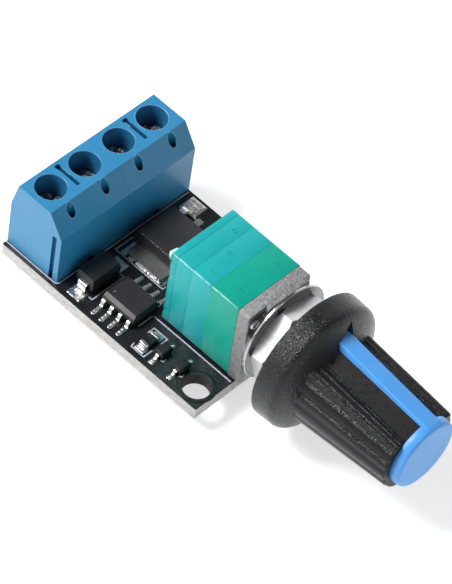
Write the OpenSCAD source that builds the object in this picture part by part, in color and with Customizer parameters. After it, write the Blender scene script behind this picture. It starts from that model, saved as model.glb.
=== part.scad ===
// Motor speed controller board: a small circuit board with a four-pole screw terminal block,
// a rotary potentiometer with switch and knob, and the surface-mounted power and timing parts.
// Frame: X to the right, Y towards the terminal block, Z up; the knob points along -Y.
// Origin: midway between the two mounting holes, on the underside of the board. Millimetres.

/* [Circuit board] */
// Width of the board, left to right
board_w = 21; // [20.5:0.5:22]
// Length of the board, front to back
board_l = 29.7; // [29.7:0.1:31]
// Thickness of the board
board_t = 1.6; // [1.2:0.2:1.6]
// Distance between the two mounting holes
hole_pitch = 16.4; // [16:0.1:16.8]
// Diameter of the two mounting holes
hole_d = 3.2; // [2.8:0.1:3.2]
// Distance from the front edge of the board to the hole centres
hole_inset = 2.1; // [2.1:0.1:2.4]

/* [Terminal block] */
// Spacing of the poles
pole_pitch = 5.08; // [5:0.04:5.12]
// Depth of the block, front to back
block_d = 7.7; // [7.6:0.1:7.8]
// Height of the block above the board
block_h = 9.9; // [9.5:0.1:10.5]
// Diameter of the screw wells
well_d = 3.56; // [3.5:0.02:3.6]
// Distance from the block's front wall to the screws
well_y = 4.6; // [4.5:0.1:4.7]
// Lift of a clamp cage from open to closed
cage_lift = 1.2; // [1:0.1:1.2]

/* [Potentiometer] */
// Width of the potentiometer body
pot_w = 9.4; // [9.2:0.1:9.6]
// Height of the potentiometer above the board
pot_h = 11.3; // [11:0.1:11.6]
// Height of the shaft's axis above the board
shaft_h = 5.9; // [5.8:0.1:6]
// Diameter of the shaft
shaft_d = 6; // [5.9:0.1:6]
// Outer diameter of the threaded bushing
bushing_d = 7; // [7:0.1:7.1]
// Full turn of the shaft between its stops, degrees
shaft_travel = 300; // [280:5:300]

/* [Nut and washer] */
// Width of the nut across its flats
nut_af = 9.7; // [9.5:0.1:10]
// Thickness of the nut
nut_t = 2; // [1.6:0.1:2]
// Outer diameter of the washer
washer_d = 12.1; // [11.5:0.1:12.2]
// Thickness of the washer
washer_t = 0.5; // [0.4:0.1:0.5]
// How far the loose washer sits above the shaft's axis
washer_rise = 0.62; // [0:0.02:0.62]

/* [Knob] */
// Diameter of the knob's skirt
skirt_d = 16.1; // [15.9:0.1:16.2]
// Diameter of the grip where it leaves the skirt
grip_base_d = 11.8; // [11.6:0.1:12]
// Diameter of the grip at its free end
grip_end_d = 10.3; // [10.2:0.1:10.5]
// Distance from the hole line to the free end of the grip
grip_reach = 23.45; // [23:0.05:24]
// How far the cap stands out of the grip
cap_crown = 1.3; // [1:0.1:1.4]
// Direction of the pointer, clockwise from straight up, degrees
pointer_angle = 11; // [-30:1:30]

/* [Hidden] */
$fn = 48;
eps = 0.01;
pin_tip = -1.8;
board_front = -hole_inset;
board_back = board_front + board_l;
pad_t = 0.05;
pad_top = board_t + pad_t;

// Terminal block, measured from its own front left bottom corner
block_w = 2 * pole_pitch;
block_x = board_w / 2 - 2 * block_w;
block_y = board_back - 0.05 - block_d;
wall_front_h = 6.96;
wall_back_h = 6.5;
top_front_y = 1.97;
top_back_y = 6.87;
floor_t = 0.6;
chamber_w = 3.86;
chamber_y = 2.72;
chamber_d = 3.76;
chamber_top = 5.3;
shoulder_top = 5.8;
head_bottom = shoulder_top + 0.03;
head_t = 1.3;
shank_r = 1.2;
cage_size = [3.7, 3.6, 3.3];
cage_window = [0.5, 2.5];
cage_bottom = 0.7;
strip_top = 3;
strip_t = 0.5;
leg_y = 1.9;
slit_w = 0.44;
slit_y = [2.9, 6.45];
slit_floor = 7.4;
screw_turns = [20, 72, -14, 48];
pole_x = [for (k = [0:3]) block_x + pole_pitch * (k + 0.5)];

// Potentiometer, as distances in front of the hole line (negative is behind it)
axis_z = board_t + shaft_h;
cover_back = -8.95;
cover_front = -8;
case_front = -5.85;
base_front = -3;
plate_back = 1;
plate_front = 2.6;
seat_front = 3.5;
washer_front = seat_front + washer_t;
nut_front = washer_front + nut_t;
bushing_front = 8.2;
shaft_front = 19.6;
shaft_r = shaft_d / 2;
bushing_r = bushing_d / 2;
neck_r = 2;
stop_half = 15;
tab_half = (360 - shaft_travel) / 2 - stop_half - 1;
pot_foot = board_t + 0.3;
pot_top = board_t + pot_h;
pivot_z = board_t + 1.65;
pot_pin_x = [-2.5, 0, 2.5];
switch_pin_x = [-2.5, 2.5];
pot_pin_y = 2.17;
switch_pin_y = 7.45;

// Knob, as distances in front of the hole line
skirt_back = 6.95;
skirt_front = 9.6;
shoulder_front = 10.43;
shoulder_r = 7.16;
grip_start = 11;
skirt_r = skirt_d / 2;
skirt_bore_r = 7.2;
skirt_recess = 2.6;
hub_r = 5.4;
hub_bore_r = 4.3;
hub_recess = 2.2;
flat_turn = 35;
flat_base = 4.6;
flat_end = 3.67;
pointer_w = 2.2;
pointer_base_r = 5.75;
pointer_end_r = 4.35;
cap_seat_r = 3.4;
cap_r = 4.3;
plug_r = 1.5;

// Centres of the surface-mounted parts
fet = [3.29, 15.13];
timer = [-5.99, 12.43];
flyback = [-6.01, 17.35];
steer_x = -7.81;
steer_y = [5.48, 2.77];
pull_up = [-7.86, 7.52];
hidden_x = 7.6;
timing_y = 8.3;
bypass_y = 5.7;
gate_y = 3.1;

// ---- Shared shapes ----

// Points y,z drawn as a prism of the given width along +X
module yz_prism(width, points) {
    rotate([90, 0, 90]) linear_extrude(width) polygon(points);
}

// Points x,z drawn as a prism of the given width along +Y, centred
module xz_prism(width, points) {
    translate([0, width / 2, 0]) rotate([90, 0, 0]) linear_extrude(width) polygon(points);
}

// A box given by its lowest corner and its size
module block(corner, size) {
    translate(corner) cube(size);
}

// Children drawn with +Z along the shaft, starting at a distance in front of the hole line
module along_shaft(start) {
    translate([0, -start, axis_z]) rotate([90, 0, 0]) children();
}

// A plate of the potentiometer, from one distance to another, with rounded corners
module pot_layer(back, front, foot, corner_r) {
    height = pot_top - foot;
    translate([0, -back, foot]) rotate([90, 0, 0]) linear_extrude(front - back) {
        translate([-pot_w / 2, corner_r]) square([pot_w, height - 2 * corner_r]);
        translate([-pot_w / 2 + corner_r, 0]) square([pot_w - 2 * corner_r, height]);
        for (side = [-1, 1], level = [corner_r, height - corner_r])
            translate([side * (pot_w / 2 - corner_r), level]) circle(corner_r);
    }
}

// A ring sector between two radii, centred on the +Y direction of its own plane
module ring_sector(inner, outer, half_angle, height) {
    reach = 2 * outer;
    intersection() {
        difference() {
            cylinder(h = height, r = outer);
            translate([0, 0, -1]) cylinder(h = height + 2, r = inner);
        }
        linear_extrude(height) polygon([
            [0, 0], [reach * sin(half_angle), reach * cos(half_angle)],
            [-reach * sin(half_angle), reach * cos(half_angle)]
        ]);
    }
}

// A moulded package with sloping sides, widest at mid height, standing on z = 0
module moulded(size, draft) {
    hull() {
        translate([0, 0, size[2] / 2]) cube([size[0], size[1], 0.1], center = true);
        for (level = [0.05, size[2] - 0.05])
            translate([0, 0, level]) cube([size[0] - 2 * draft, size[1] - 2 * draft, 0.1], center = true);
    }
}

// A bent strip along +X: flat out of the package, down, and flat on its pad
module gull_lead(inner, knee, toe, rise, thick, width) {
    bend = (toe - knee) * 0.3;
    xz_prism(width, [
        [inner, rise], [knee - bend / 2, rise], [knee + bend / 2, 0], [toe, 0], [toe, thick],
        [knee + bend / 2 + thick, thick], [knee - bend / 2 + thick, rise + thick], [inner, rise + thick]
    ]);
}

// A pair of children facing left and right
module both_ends() {
    children();
    mirror([1, 0, 0]) children();
}

// ---- Board ----

module solder_pin_holes() {
    for (x = pole_x) translate([x, block_y + leg_y + strip_t / 2, -1]) cylinder(h = board_t + 2, d = 1.3);
    for (x = pot_pin_x) translate([x, pot_pin_y, -1]) cylinder(h = board_t + 2, d = 1.1);
    for (x = switch_pin_x) translate([x, switch_pin_y, -1]) cylinder(h = board_t + 2, d = 1.1);
}

module pcb() {
    color([0.07, 0.07, 0.08]) difference() {
        block([-board_w / 2, board_front, 0], [board_w, board_l, board_t]);
        for (side = [-1, 1]) translate([side * hole_pitch / 2, 0, -1]) cylinder(h = board_t + 2, d = hole_d);
        solder_pin_holes();
    }
}

module pad(centre, size) {
    translate([centre[0] - size[0] / 2, centre[1] - size[1] / 2, board_t]) cube([size[0], size[1], pad_t]);
}

module pad_pair(centre, spacing, size) {
    for (side = [-1, 1]) pad([centre[0] + side * spacing / 2, centre[1]], size);
}

module smd_pads() {
    color([0.75, 0.74, 0.7]) {
        pad([fet[0] - 2.3, fet[1]], [5, 6.4]);
        for (side = [-1, 1]) pad([fet[0] + 5.65, fet[1] + side * 2.5], [2.2, 2.2]);
        for (k = [-1.5:1.5]) pad_pair([timer[0], timer[1] + 1.27 * k], 5.9, [1.9, 0.5]);
        pad_pair(flyback, 5.1, [1.8, 1.9]);
        for (y = steer_y) pad_pair([steer_x, y], 2.6, [0.8, 0.6]);
        pad_pair(pull_up, 2.2, [1, 1.3]);
        for (y = [timing_y, bypass_y, gate_y]) pad_pair([hidden_x, y], 2.2, [1, 1.3]);
    }
}

module solder_cone(pin_size) {
    difference() {
        translate([0, 0, -0.9]) cylinder(h = 0.9, r1 = 0.62, r2 = 1.05);
        cube([pin_size[0], pin_size[1], 4], center = true);
    }
}

module solder_joints() {
    color([0.8, 0.8, 0.78]) {
        for (x = pole_x) translate([x, block_y + leg_y + strip_t / 2, 0]) solder_cone([1, strip_t]);
        for (x = pot_pin_x) translate([x, pot_pin_y, 0]) solder_cone([0.8, 0.35]);
        for (x = switch_pin_x) translate([x, switch_pin_y, 0]) solder_cone([0.8, 0.3]);
    }
}

// ---- Terminal block ----

module dovetail(depth, face_w, height) {
    linear_extrude(height)
        polygon([[0, -face_w / 2], [depth, -face_w * 0.8], [depth, face_w * 0.8], [0, face_w / 2]]);
}

// Everything that is hollow round one screw
module pole_hollow() {
    translate([0, well_y, shoulder_top]) cylinder(h = block_h, d = well_d);
    translate([0, well_y, chamber_top - eps]) cylinder(h = 1, r = shank_r + 0.1);
    block([-chamber_w / 2, chamber_y, floor_t], [chamber_w, chamber_d, chamber_top - floor_t]);
    block([-1.12, leg_y - 0.02, floor_t], [2.24, 1, strip_top + 0.1 - floor_t]);
    block([-0.52, leg_y - 0.02, -1], [1.04, strip_t + 0.04, 2]);
    block([-1.4, chamber_y + chamber_d - 0.1, 0.95], [2.8, 2, 2.2]);
    translate([0, 1.4, 6.5]) cylinder(h = 5, d = 1.1);
}

module terminal_housing(left) {
    color([0.16, 0.5, 0.75]) translate([left, block_y, board_t]) difference() {
        union() {
            yz_prism(block_w, [
                [0, 0], [block_d, 0], [block_d, wall_back_h],
                [top_back_y, block_h], [top_front_y, block_h], [0, wall_front_h]
            ]);
            translate([block_w, 1, 0.3]) dovetail(0.48, 0.5, 6.2);
        }
        translate([-eps, 1, -1]) dovetail(0.52, 0.56, 7.8);
        for (k = [0.5, 1.5]) translate([pole_pitch * k, 0, 0]) pole_hollow();
        block([pole_pitch - slit_w / 2, slit_y[0], slit_floor], [slit_w, slit_y[1] - slit_y[0], block_h]);
        block([pole_pitch - 0.4, -1, -1], [0.8, 1.6, 1.5]);
    }
}

module terminal_screw(k) {
    color([0.72, 0.72, 0.7])
        translate([pole_x[k], block_y + well_y, board_t + head_bottom]) rotate([0, 0, screw_turns[k]])
            difference() {
                union() {
                    cylinder(h = head_t, d = well_d - 0.2);
                    translate([0, 0, strip_top + 0.1 - head_bottom])
                        cylinder(h = head_bottom - strip_top, r = shank_r);
                }
                block([-2, -0.25, head_t - 0.6], [4, 0.5, 1]);
            }
}

module clamp_cage(k) {
    color([0.75, 0.66, 0.4])
        translate([pole_x[k], block_y + well_y, board_t + cage_bottom]) difference() {
            block([-cage_size[0] / 2, -cage_size[1] / 2, 0], cage_size);
            block([-1.4, -3, cage_window[0]], [2.8, 6, cage_window[1] - cage_window[0]]);
            translate([0, 0, 2]) cylinder(h = 3, r = shank_r + 0.05);
        }
}

module terminal_contact(k) {
    color([0.78, 0.77, 0.74]) translate([pole_x[k], block_y, board_t]) {
        block([-1.1, leg_y, strip_top - strip_t], [2.2, 4.4, strip_t]);
        block([-1.1, leg_y, cage_bottom], [2.2, strip_t, strip_top - strip_t - cage_bottom]);
        block([-0.5, leg_y, pin_tip - board_t], [1, strip_t, cage_bottom + board_t - pin_tip]);
    }
}

// ---- Potentiometer ----

module pot_front_plate() {
    color([0.6, 0.6, 0.6]) difference() {
        union() {
            pot_layer(plate_back, plate_front, board_t, 0.5);
            along_shaft(plate_front - eps) cylinder(h = seat_front - plate_front + eps, r = 4.7);
            along_shaft(seat_front - eps) cylinder(h = bushing_front - seat_front, r = bushing_r);
            block([-2.3, -plate_front - 0.5, pot_top - 3], [6.4, 0.6, 2.7]);
            for (side = [-1, 1])
                along_shaft(plate_front - eps) translate([side * 3.85, side * -3.9, 0]) cylinder(h = 0.3, r = 0.55);
            along_shaft(plate_back - 0.6) rotate([0, 0, 180]) ring_sector(3.3, 4.2, stop_half, 0.6 + eps);
        }
        along_shaft(plate_back - 1) cylinder(h = bushing_front + 2, r = shaft_r + 0.05);
    }
}

module pot_front_case() {
    color([0.1, 0.68, 0.6]) difference() {
        pot_layer(base_front, plate_back, pot_foot, 0.4);
        along_shaft(-2.4) cylinder(h = 2.4 + plate_back + eps, r = 4.25);
        block([-3.6, 1.15, pot_foot + 0.45], [7.2, 1.25, axis_z - pot_foot - 0.45]);
        for (x = pot_pin_x) block([x - 0.42, pot_pin_y - 0.19, board_t], [0.84, 0.38, 2]);
        along_shaft(base_front - 1) cylinder(h = 3, r = 2.4);
    }
}

module pot_switch_base() {
    wall_y = -case_front - 0.5;
    color([0.12, 0.66, 0.68]) {
        difference() {
            pot_layer(case_front, base_front, pot_foot, 0.4);
            block([-4.1, 0, pot_foot + 0.4], [8.2, wall_y, pot_h - 1.2]);
        }
        translate([0, wall_y + eps, pivot_z]) rotate([90, 0, 0]) cylinder(h = wall_y - 3.3, r = 0.4);
    }
}

module pot_switch_case() {
    color([0.12, 0.66, 0.68]) difference() {
        pot_layer(cover_front, case_front, pot_foot, 0.4);
        block([-4, -case_front - 1, pot_foot + 0.5], [8, 8, pot_h - 1.6]);
        for (x = switch_pin_x) block([x - 0.42, switch_pin_y - 0.17, board_t], [0.84, 0.34, 2]);
    }
}

module pot_back_cover() {
    color([0.12, 0.66, 0.68]) {
        pot_layer(cover_back, cover_front, pot_foot, 0.4);
    }
}

module pot_shaft() {
    grip_len = 7;
    color([0.66, 0.66, 0.66]) difference() {
        union() {
            along_shaft(plate_back - 0.1) cylinder(h = shaft_front - plate_back - 0.2, r = shaft_r);
            along_shaft(shaft_front - 0.4) cylinder(h = 0.4, r1 = shaft_r, r2 = shaft_r - 0.4);
            along_shaft(-5.2) cylinder(h = 5.2 + plate_back, r = neck_r);
        }
        along_shaft(shaft_front - grip_len) translate([-4, -0.4, 0]) cube([8, 0.8, grip_len + 1]);
    }
}

module pot_rotor() {
    color([0.15, 0.15, 0.16]) difference() {
        union() {
            along_shaft(-0.5) cylinder(h = 0.8, r = 4);
            along_shaft(0.3) cylinder(h = 0.6, r = 3.2);
            along_shaft(0.3 - eps) rotate([0, 0, -pointer_angle]) ring_sector(3, 3.85, tab_half, 0.5);
        }
        along_shaft(-2) cylinder(h = 5, r = neck_r);
    }
}

module pot_wiper() {
    color([0.8, 0.62, 0.35]) along_shaft(-0.7) rotate([0, 0, -pointer_angle]) difference() {
        union() {
            cylinder(h = 0.2, r = 2.8);
            block([-0.8, -3.8, 0], [1.6, 2.4, 0.2]);
            for (x = [-0.6, 0.2]) block([x, -3.8, -0.45], [0.4, 0.4, 0.5]);
        }
        translate([0, 0, -1]) cylinder(h = 3, r = neck_r);
    }
}

module resistive_element() {
    color([0.35, 0.22, 0.12]) difference() {
        union() {
            along_shaft(-2) cylinder(h = 0.8, r = 4.2);
            block([-3.5, 1.2, pot_foot + 0.55], [7, 0.8, axis_z - pot_foot - 0.55]);
        }
        along_shaft(-3) cylinder(h = 4, r = 2.4);
    }
}

module pot_terminals() {
    color([0.8, 0.79, 0.76])
        for (x = pot_pin_x) block([x - 0.4, pot_pin_y - 0.17, pin_tip], [0.8, 0.34, board_t + 3 - pin_tip]);
}

module switch_cam() {
    color([0.85, 0.85, 0.82]) difference() {
        union() {
            along_shaft(-5.1) cylinder(h = 1.8, r = 2.6);
            along_shaft(-5.1) rotate([0, 0, 45 - pointer_angle]) block([-0.5, 0, 0], [1, 3.2, 1.8]);
        }
        along_shaft(-6) cylinder(h = 4, r = neck_r);
    }
}

module switch_lever() {
    color([0.9, 0.88, 0.8]) translate([0, 4.2, pivot_z]) rotate([0, 10, 0]) difference() {
        union() {
            rotate([90, 0, 0]) cylinder(h = 1.4, r = 0.8, center = true);
            block([-2.5, -0.7, -0.3], [5, 1.4, 0.6]);
            xz_prism(1.4, [[-0.5, 0.4], [0.5, 0.4], [0.2, 0.9], [-0.2, 0.9]]);
        }
        rotate([90, 0, 0]) cylinder(h = 4, r = 0.45, center = true);
    }
}

module switch_contact() {
    color([0.8, 0.62, 0.35]) {
        block([-3, 6.9, board_t + 3], [6.1, 0.2, 0.8]);
        block([-2.9, 7.1, board_t + 3], [0.8, 0.2, 0.8]);
        translate([2.5, 7.25, board_t + 3.4]) rotate([90, 0, 0]) cylinder(h = 0.2, r = 0.3);
    }
}

module switch_terminals() {
    color([0.8, 0.79, 0.76])
        for (x = switch_pin_x)
            block([x - 0.4, switch_pin_y - 0.15, pin_tip], [0.8, 0.3, board_t + 4.2 - pin_tip]);
}

// ---- Nut, washer and knob ----

module lock_washer() {
    color([0.7, 0.7, 0.68]) along_shaft(seat_front) translate([0, washer_rise, 0]) difference() {
        cylinder(h = washer_t, d = washer_d);
        translate([0, 0, -1]) cylinder(h = 3, r = bushing_r + washer_rise + 0.03);
    }
}

module hex_nut() {
    corner_r = nut_af / sqrt(3);
    color([0.86, 0.87, 0.88]) along_shaft(washer_front) difference() {
        intersection() {
            rotate([0, 0, 45.3]) cylinder(h = nut_t, r = corner_r, $fn = 6);
            union() {
                cylinder(h = 0.3, r1 = corner_r - 0.35, r2 = corner_r + 0.1);
                translate([0, 0, 0.3 - eps]) cylinder(h = nut_t - 0.6 + 2 * eps, r = corner_r + 0.1);
                translate([0, 0, nut_t - 0.3]) cylinder(h = 0.3, r1 = corner_r + 0.1, r2 = corner_r - 0.35);
            }
        }
        translate([0, 0, -1]) cylinder(h = nut_t + 2, r = bushing_r);
    }
}

// The sloping flat on one side of the pointer
module pointer_flat(side) {
    slope = atan((flat_base - flat_end) / (grip_reach - grip_start));
    rotate([0, 0, side * flat_turn])
        translate([0, flat_base, grip_start + 0.5]) rotate([slope, 0, 0])
            translate([side > 0 ? -1 : -6, 0, 0]) cube([7, 4, 20]);
}

// One groove of the finger grip, at an angle from the pointer
module grip_flute(angle) {
    lean = atan((grip_base_d - grip_end_d) / 2 / (grip_reach - grip_start));
    rotate([0, 0, angle]) translate([0, grip_base_d / 2 + 0.25, grip_start]) rotate([lean, 0, 0])
        cylinder(h = 20, r = 0.55, $fn = 24);
}

module cap_seat(clearance) {
    slope = atan((flat_base - flat_end) / (grip_reach - grip_start));
    translate([0, 0, grip_reach - 0.9 - clearance]) cylinder(h = 3, r = cap_seat_r + clearance);
    translate([0, 0, grip_reach - 2.6 - clearance]) cylinder(h = 3, r = plug_r + clearance);
    intersection() {
        translate([0, flat_base - 0.4 - clearance, grip_start]) rotate([slope, 0, 0])
            block([-pointer_w / 2 - clearance, 0, 0], [pointer_w + 2 * clearance, 3, grip_reach - grip_start]);
        cylinder(h = grip_reach, r = 7);
    }
}

module knob_body() {
    color([0.1, 0.1, 0.11]) along_shaft(0) rotate([0, 0, -pointer_angle]) difference() {
        union() {
            rotate_extrude() polygon([
                [0, skirt_back], [skirt_r - 0.25, skirt_back], [skirt_r, skirt_back + 0.3],
                [skirt_r - 0.13, skirt_front], [shoulder_r, shoulder_front],
                [grip_base_d / 2, grip_start], [0, grip_start]
            ]);
            difference() {
                translate([0, 0, grip_start - eps])
                    cylinder(h = grip_reach - grip_start + eps, d1 = grip_base_d, d2 = grip_end_d);
                for (side = [-1, 1]) pointer_flat(side);
                for (side = [-1, 1], k = [0:4]) grip_flute(side * (62 + 13 * k));
            }
        }
        translate([0, 0, skirt_back - 1]) cylinder(h = 1 + hub_recess, r = hub_bore_r);
        difference() {
            translate([0, 0, skirt_back - 1]) cylinder(h = 1 + skirt_recess, r = skirt_bore_r);
            translate([0, 0, skirt_back - 2]) cylinder(h = 8, r = hub_r);
        }
        cylinder(h = shaft_front + 0.2, r = shaft_r);
        cap_seat(0);
    }
}

module knob_cap() {
    color([0.42, 0.68, 0.92]) along_shaft(0) rotate([0, 0, -pointer_angle]) {
        intersection() {
            cap_seat(0);
            union() {
                cylinder(h = grip_reach, r = plug_r);
                translate([0, 0, grip_reach - 1]) cylinder(h = 1.2, r = cap_seat_r);
                translate([0, 0, grip_start]) intersection() {
                    cylinder(h = grip_reach - grip_start, r1 = pointer_base_r, r2 = pointer_end_r);
                    block([-pointer_w / 2, 0, 0], [pointer_w, 7, grip_reach - grip_start]);
                }
            }
        }
        translate([0, 0, grip_reach]) rotate_extrude() polygon([
            [0, 0], [cap_r, 0], [cap_r - 0.05, cap_crown * 0.35], [cap_r - 0.4, cap_crown * 0.75],
            [cap_r - 1.1, cap_crown], [0, cap_crown]
        ]);
    }
}

// ---- Surface-mounted parts ----

module mosfet_tab_shape() {
    translate([fet[0], fet[1], pad_top]) {
        block([-4.6, -2.65, 0], [6.6, 5.3, 0.5]);
        block([1.9, -0.4, 0], [0.5, 0.8, 1.3]);
        block([1.9, -0.4, 0.9], [2.7, 0.8, 0.4]);
    }
}

module mosfet_lead_shapes() {
    for (side = [-1, 1])
        translate([fet[0], fet[1] + side * 2.28, pad_top]) gull_lead(2, 4.2, 5.6, 0.9, 0.4, 0.8);
}

module mosfet_body() {
    color([0.13, 0.13, 0.14]) difference() {
        translate([fet[0], fet[1], pad_top]) moulded([6.1, 6.6, 2.3], 0.3);
        mosfet_tab_shape();
        mosfet_lead_shapes();
    }
}

module mosfet_tab() {
    color([0.7, 0.69, 0.66]) mosfet_tab_shape();
}

module mosfet_leads() {
    color([0.75, 0.74, 0.7]) mosfet_lead_shapes();
}

module timer_lead_shapes() {
    for (k = [-1.5:1.5])
        translate([timer[0], timer[1] + 1.27 * k, pad_top]) both_ends() gull_lead(1.6, 2.4, 3, 0.7, 0.18, 0.42);
}

module timer_body() {
    color([0.12, 0.12, 0.13]) difference() {
        translate([timer[0], timer[1], pad_top + 0.12]) moulded([3.9, 4.9, 1.4], 0.18);
        translate([timer[0] - 1.95, timer[1], pad_top + 1.62]) rotate([0, 45, 0])
            cube([0.75, 6, 0.75], center = true);
        timer_lead_shapes();
        translate([timer[0] - 1.05, timer[1] + 1.75, pad_top + 1.44]) cylinder(h = 1, r = 0.3);
    }
}

module timer_leads() {
    color([0.85, 0.85, 0.83]) timer_lead_shapes();
}

module flyback_lead_shapes() {
    translate([flyback[0], flyback[1], pad_top]) both_ends() xz_prism(1.4, [
        [1.3, 0], [2.6, 0], [2.6, 1.2], [1.7, 1.2], [1.7, 1], [2.4, 1], [2.4, 0.2], [1.3, 0.2]
    ]);
}

module flyback_diode_body() {
    color([0.12, 0.12, 0.13]) difference() {
        translate([flyback[0], flyback[1], pad_top + 0.05]) moulded([4.3, 2.6, 2.1], 0.15);
        flyback_lead_shapes();
        translate([flyback[0], flyback[1], pad_top]) both_ends() block([1.2, -0.75, -1], [2, 1.5, 1.25]);
    }
}

module flyback_diode_leads() {
    color([0.82, 0.82, 0.8]) flyback_lead_shapes();
}

module steering_lead_shapes(y) {
    translate([steer_x, y, pad_top]) both_ends() gull_lead(0.6, 0.95, 1.3, 0.4, 0.12, 0.35);
}

module steering_diode_body(y) {
    color([0.14, 0.14, 0.15]) difference() {
        translate([steer_x, y, pad_top + 0.05]) moulded([1.7, 1.25, 0.9], 0.08);
        steering_lead_shapes(y);
    }
}

module steering_diode_leads(y) {
    color([0.82, 0.82, 0.8]) steering_lead_shapes(y);
}

module chip_body(centre, height, colour) {
    color(colour) translate([centre[0], centre[1], pad_top + height / 2])
        cube([1.3, 1.2, height - 0.06], center = true);
}

module chip_caps(centre, height) {
    color([0.78, 0.78, 0.76]) translate([centre[0], centre[1], pad_top])
        both_ends() block([0.65, -0.625, 0], [0.35, 1.25, height]);
}

// ---- Nodes ----

pcb();
smd_pads();
solder_joints();
terminal_housing(block_x);  // terminal_housing_left
terminal_housing(block_x + block_w);  // terminal_housing_right
terminal_screw(0);  // terminal_screw_1
terminal_screw(1);  // terminal_screw_2
terminal_screw(2);  // terminal_screw_3
terminal_screw(3);  // terminal_screw_4
clamp_cage(0);  // clamp_cage_1
clamp_cage(1);  // clamp_cage_2
clamp_cage(2);  // clamp_cage_3
clamp_cage(3);  // clamp_cage_4
terminal_contact(0);  // terminal_contact_1
terminal_contact(1);  // terminal_contact_2
terminal_contact(2);  // terminal_contact_3
terminal_contact(3);  // terminal_contact_4
pot_front_plate();
pot_front_case();
pot_switch_base();
pot_switch_case();
pot_back_cover();
pot_shaft();
pot_rotor();
pot_wiper();
resistive_element();
pot_terminals();
switch_cam();
switch_lever();
switch_contact();
switch_terminals();
lock_washer();
hex_nut();
knob_body();
knob_cap();
mosfet_body();
mosfet_tab();
mosfet_leads();
timer_body();
timer_leads();
flyback_diode_body();
flyback_diode_leads();
steering_diode_body(steer_y[0]);  // steering_diode_1_body
steering_diode_leads(steer_y[0]);  // steering_diode_1_leads
steering_diode_body(steer_y[1]);  // steering_diode_2_body
steering_diode_leads(steer_y[1]);  // steering_diode_2_leads
chip_body(pull_up, 0.55, [0.1, 0.1, 0.1]);  // resistor_body
chip_caps(pull_up, 0.55);  // resistor_caps
chip_body([hidden_x, timing_y], 0.9, [0.62, 0.5, 0.36]);  // timing_capacitor_body
chip_caps([hidden_x, timing_y], 0.9);  // timing_capacitor_caps
chip_body([hidden_x, bypass_y], 0.9, [0.62, 0.5, 0.36]);  // bypass_capacitor_body
chip_caps([hidden_x, bypass_y], 0.9);  // bypass_capacitor_caps
chip_body([hidden_x, gate_y], 0.55, [0.1, 0.1, 0.1]);  // gate_resistor_body
chip_caps([hidden_x, gate_y], 0.55);  // gate_resistor_caps
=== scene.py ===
import math
import random

import bmesh
import bpy
from mathutils import Matrix, Vector


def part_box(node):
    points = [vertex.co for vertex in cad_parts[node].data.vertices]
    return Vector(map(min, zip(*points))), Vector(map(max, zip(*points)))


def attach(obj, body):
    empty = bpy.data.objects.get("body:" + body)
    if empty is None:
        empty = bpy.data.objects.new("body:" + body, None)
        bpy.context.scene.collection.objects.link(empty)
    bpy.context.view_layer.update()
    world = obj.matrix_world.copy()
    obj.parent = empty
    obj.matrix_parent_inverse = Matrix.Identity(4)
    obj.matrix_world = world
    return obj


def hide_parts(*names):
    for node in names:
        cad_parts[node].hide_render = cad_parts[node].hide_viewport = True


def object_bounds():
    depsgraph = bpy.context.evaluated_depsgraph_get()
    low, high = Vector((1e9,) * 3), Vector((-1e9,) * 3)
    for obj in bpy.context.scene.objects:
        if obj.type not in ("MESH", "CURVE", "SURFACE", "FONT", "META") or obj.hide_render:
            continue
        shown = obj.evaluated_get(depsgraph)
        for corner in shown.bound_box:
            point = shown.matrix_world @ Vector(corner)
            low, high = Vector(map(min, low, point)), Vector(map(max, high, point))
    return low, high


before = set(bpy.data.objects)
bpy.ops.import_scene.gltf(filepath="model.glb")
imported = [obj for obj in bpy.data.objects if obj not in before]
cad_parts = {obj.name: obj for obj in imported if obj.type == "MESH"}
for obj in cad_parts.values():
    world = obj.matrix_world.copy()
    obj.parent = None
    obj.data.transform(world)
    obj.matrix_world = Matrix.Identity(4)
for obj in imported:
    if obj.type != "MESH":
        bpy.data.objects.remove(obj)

CAD_BOX = [list(corner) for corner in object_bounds()]
MM = 0.001
TAU = 2 * math.pi


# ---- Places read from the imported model, in millimetres ----

def box_mm(node):
    """Lowest and highest corner of a CAD node."""
    low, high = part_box(node)
    return low / MM, high / MM


def centre_mm(node):
    low, high = box_mm(node)
    return (low + high) / 2


BOARD_LOW, BOARD_HIGH = box_mm("pcb")
BOARD_TOP = BOARD_HIGH.z
FOOT = BOARD_TOP - 0.01          # pieces on the board start just under its surface
PAD_TOP = box_mm("smd_pads")[1].z
HOLE_X, HOLE_RADIUS = 8.2, 1.6
TIMER = centre_mm("timer_body")
LEAD_ROWS = [TIMER.y + 1.27 * k for k in (-1.5, -0.5, 0.5, 1.5)]
FLYBACK = centre_mm("flyback_diode_body")
PULL_UP = centre_mm("resistor_body")
STEERING = [centre_mm(f"steering_diode_{k}_body") for k in (1, 2)]
FET = centre_mm("mosfet_body")
TAB_LOW, TAB_HIGH = box_mm("mosfet_tab")
TAB_END = TAB_HIGH.x - 2.8
POLES = [centre_mm(f"terminal_screw_{k}") for k in (1, 2, 3, 4)]
PITCH = POLES[1].x - POLES[0].x
BLOCK_LOW, BLOCK_HIGH = box_mm("terminal_housing_left")
BLOCK_LEFT = POLES[0].x - PITCH / 2
POT_LOW, POT_HIGH = box_mm("pot_front_case")
AXIS_Z = centre_mm("pot_shaft").z


# ---- Mesh helpers, all in millimetres ----

PLACE = {
    "x": lambda u, v, w: (w, u, v),
    "y": lambda u, v, w: (u, w, v),
    "z": lambda u, v, w: (u, v, w),
}


def box(bm, low, high):
    """Adds a box between two corners and returns its vertices."""
    low, high = Vector(low), Vector(high)
    made = bmesh.ops.create_cube(bm, size=1)["verts"]
    bmesh.ops.scale(bm, vec=high - low, verts=made)
    bmesh.ops.translate(bm, vec=(low + high) / 2, verts=made)
    return made


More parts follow.
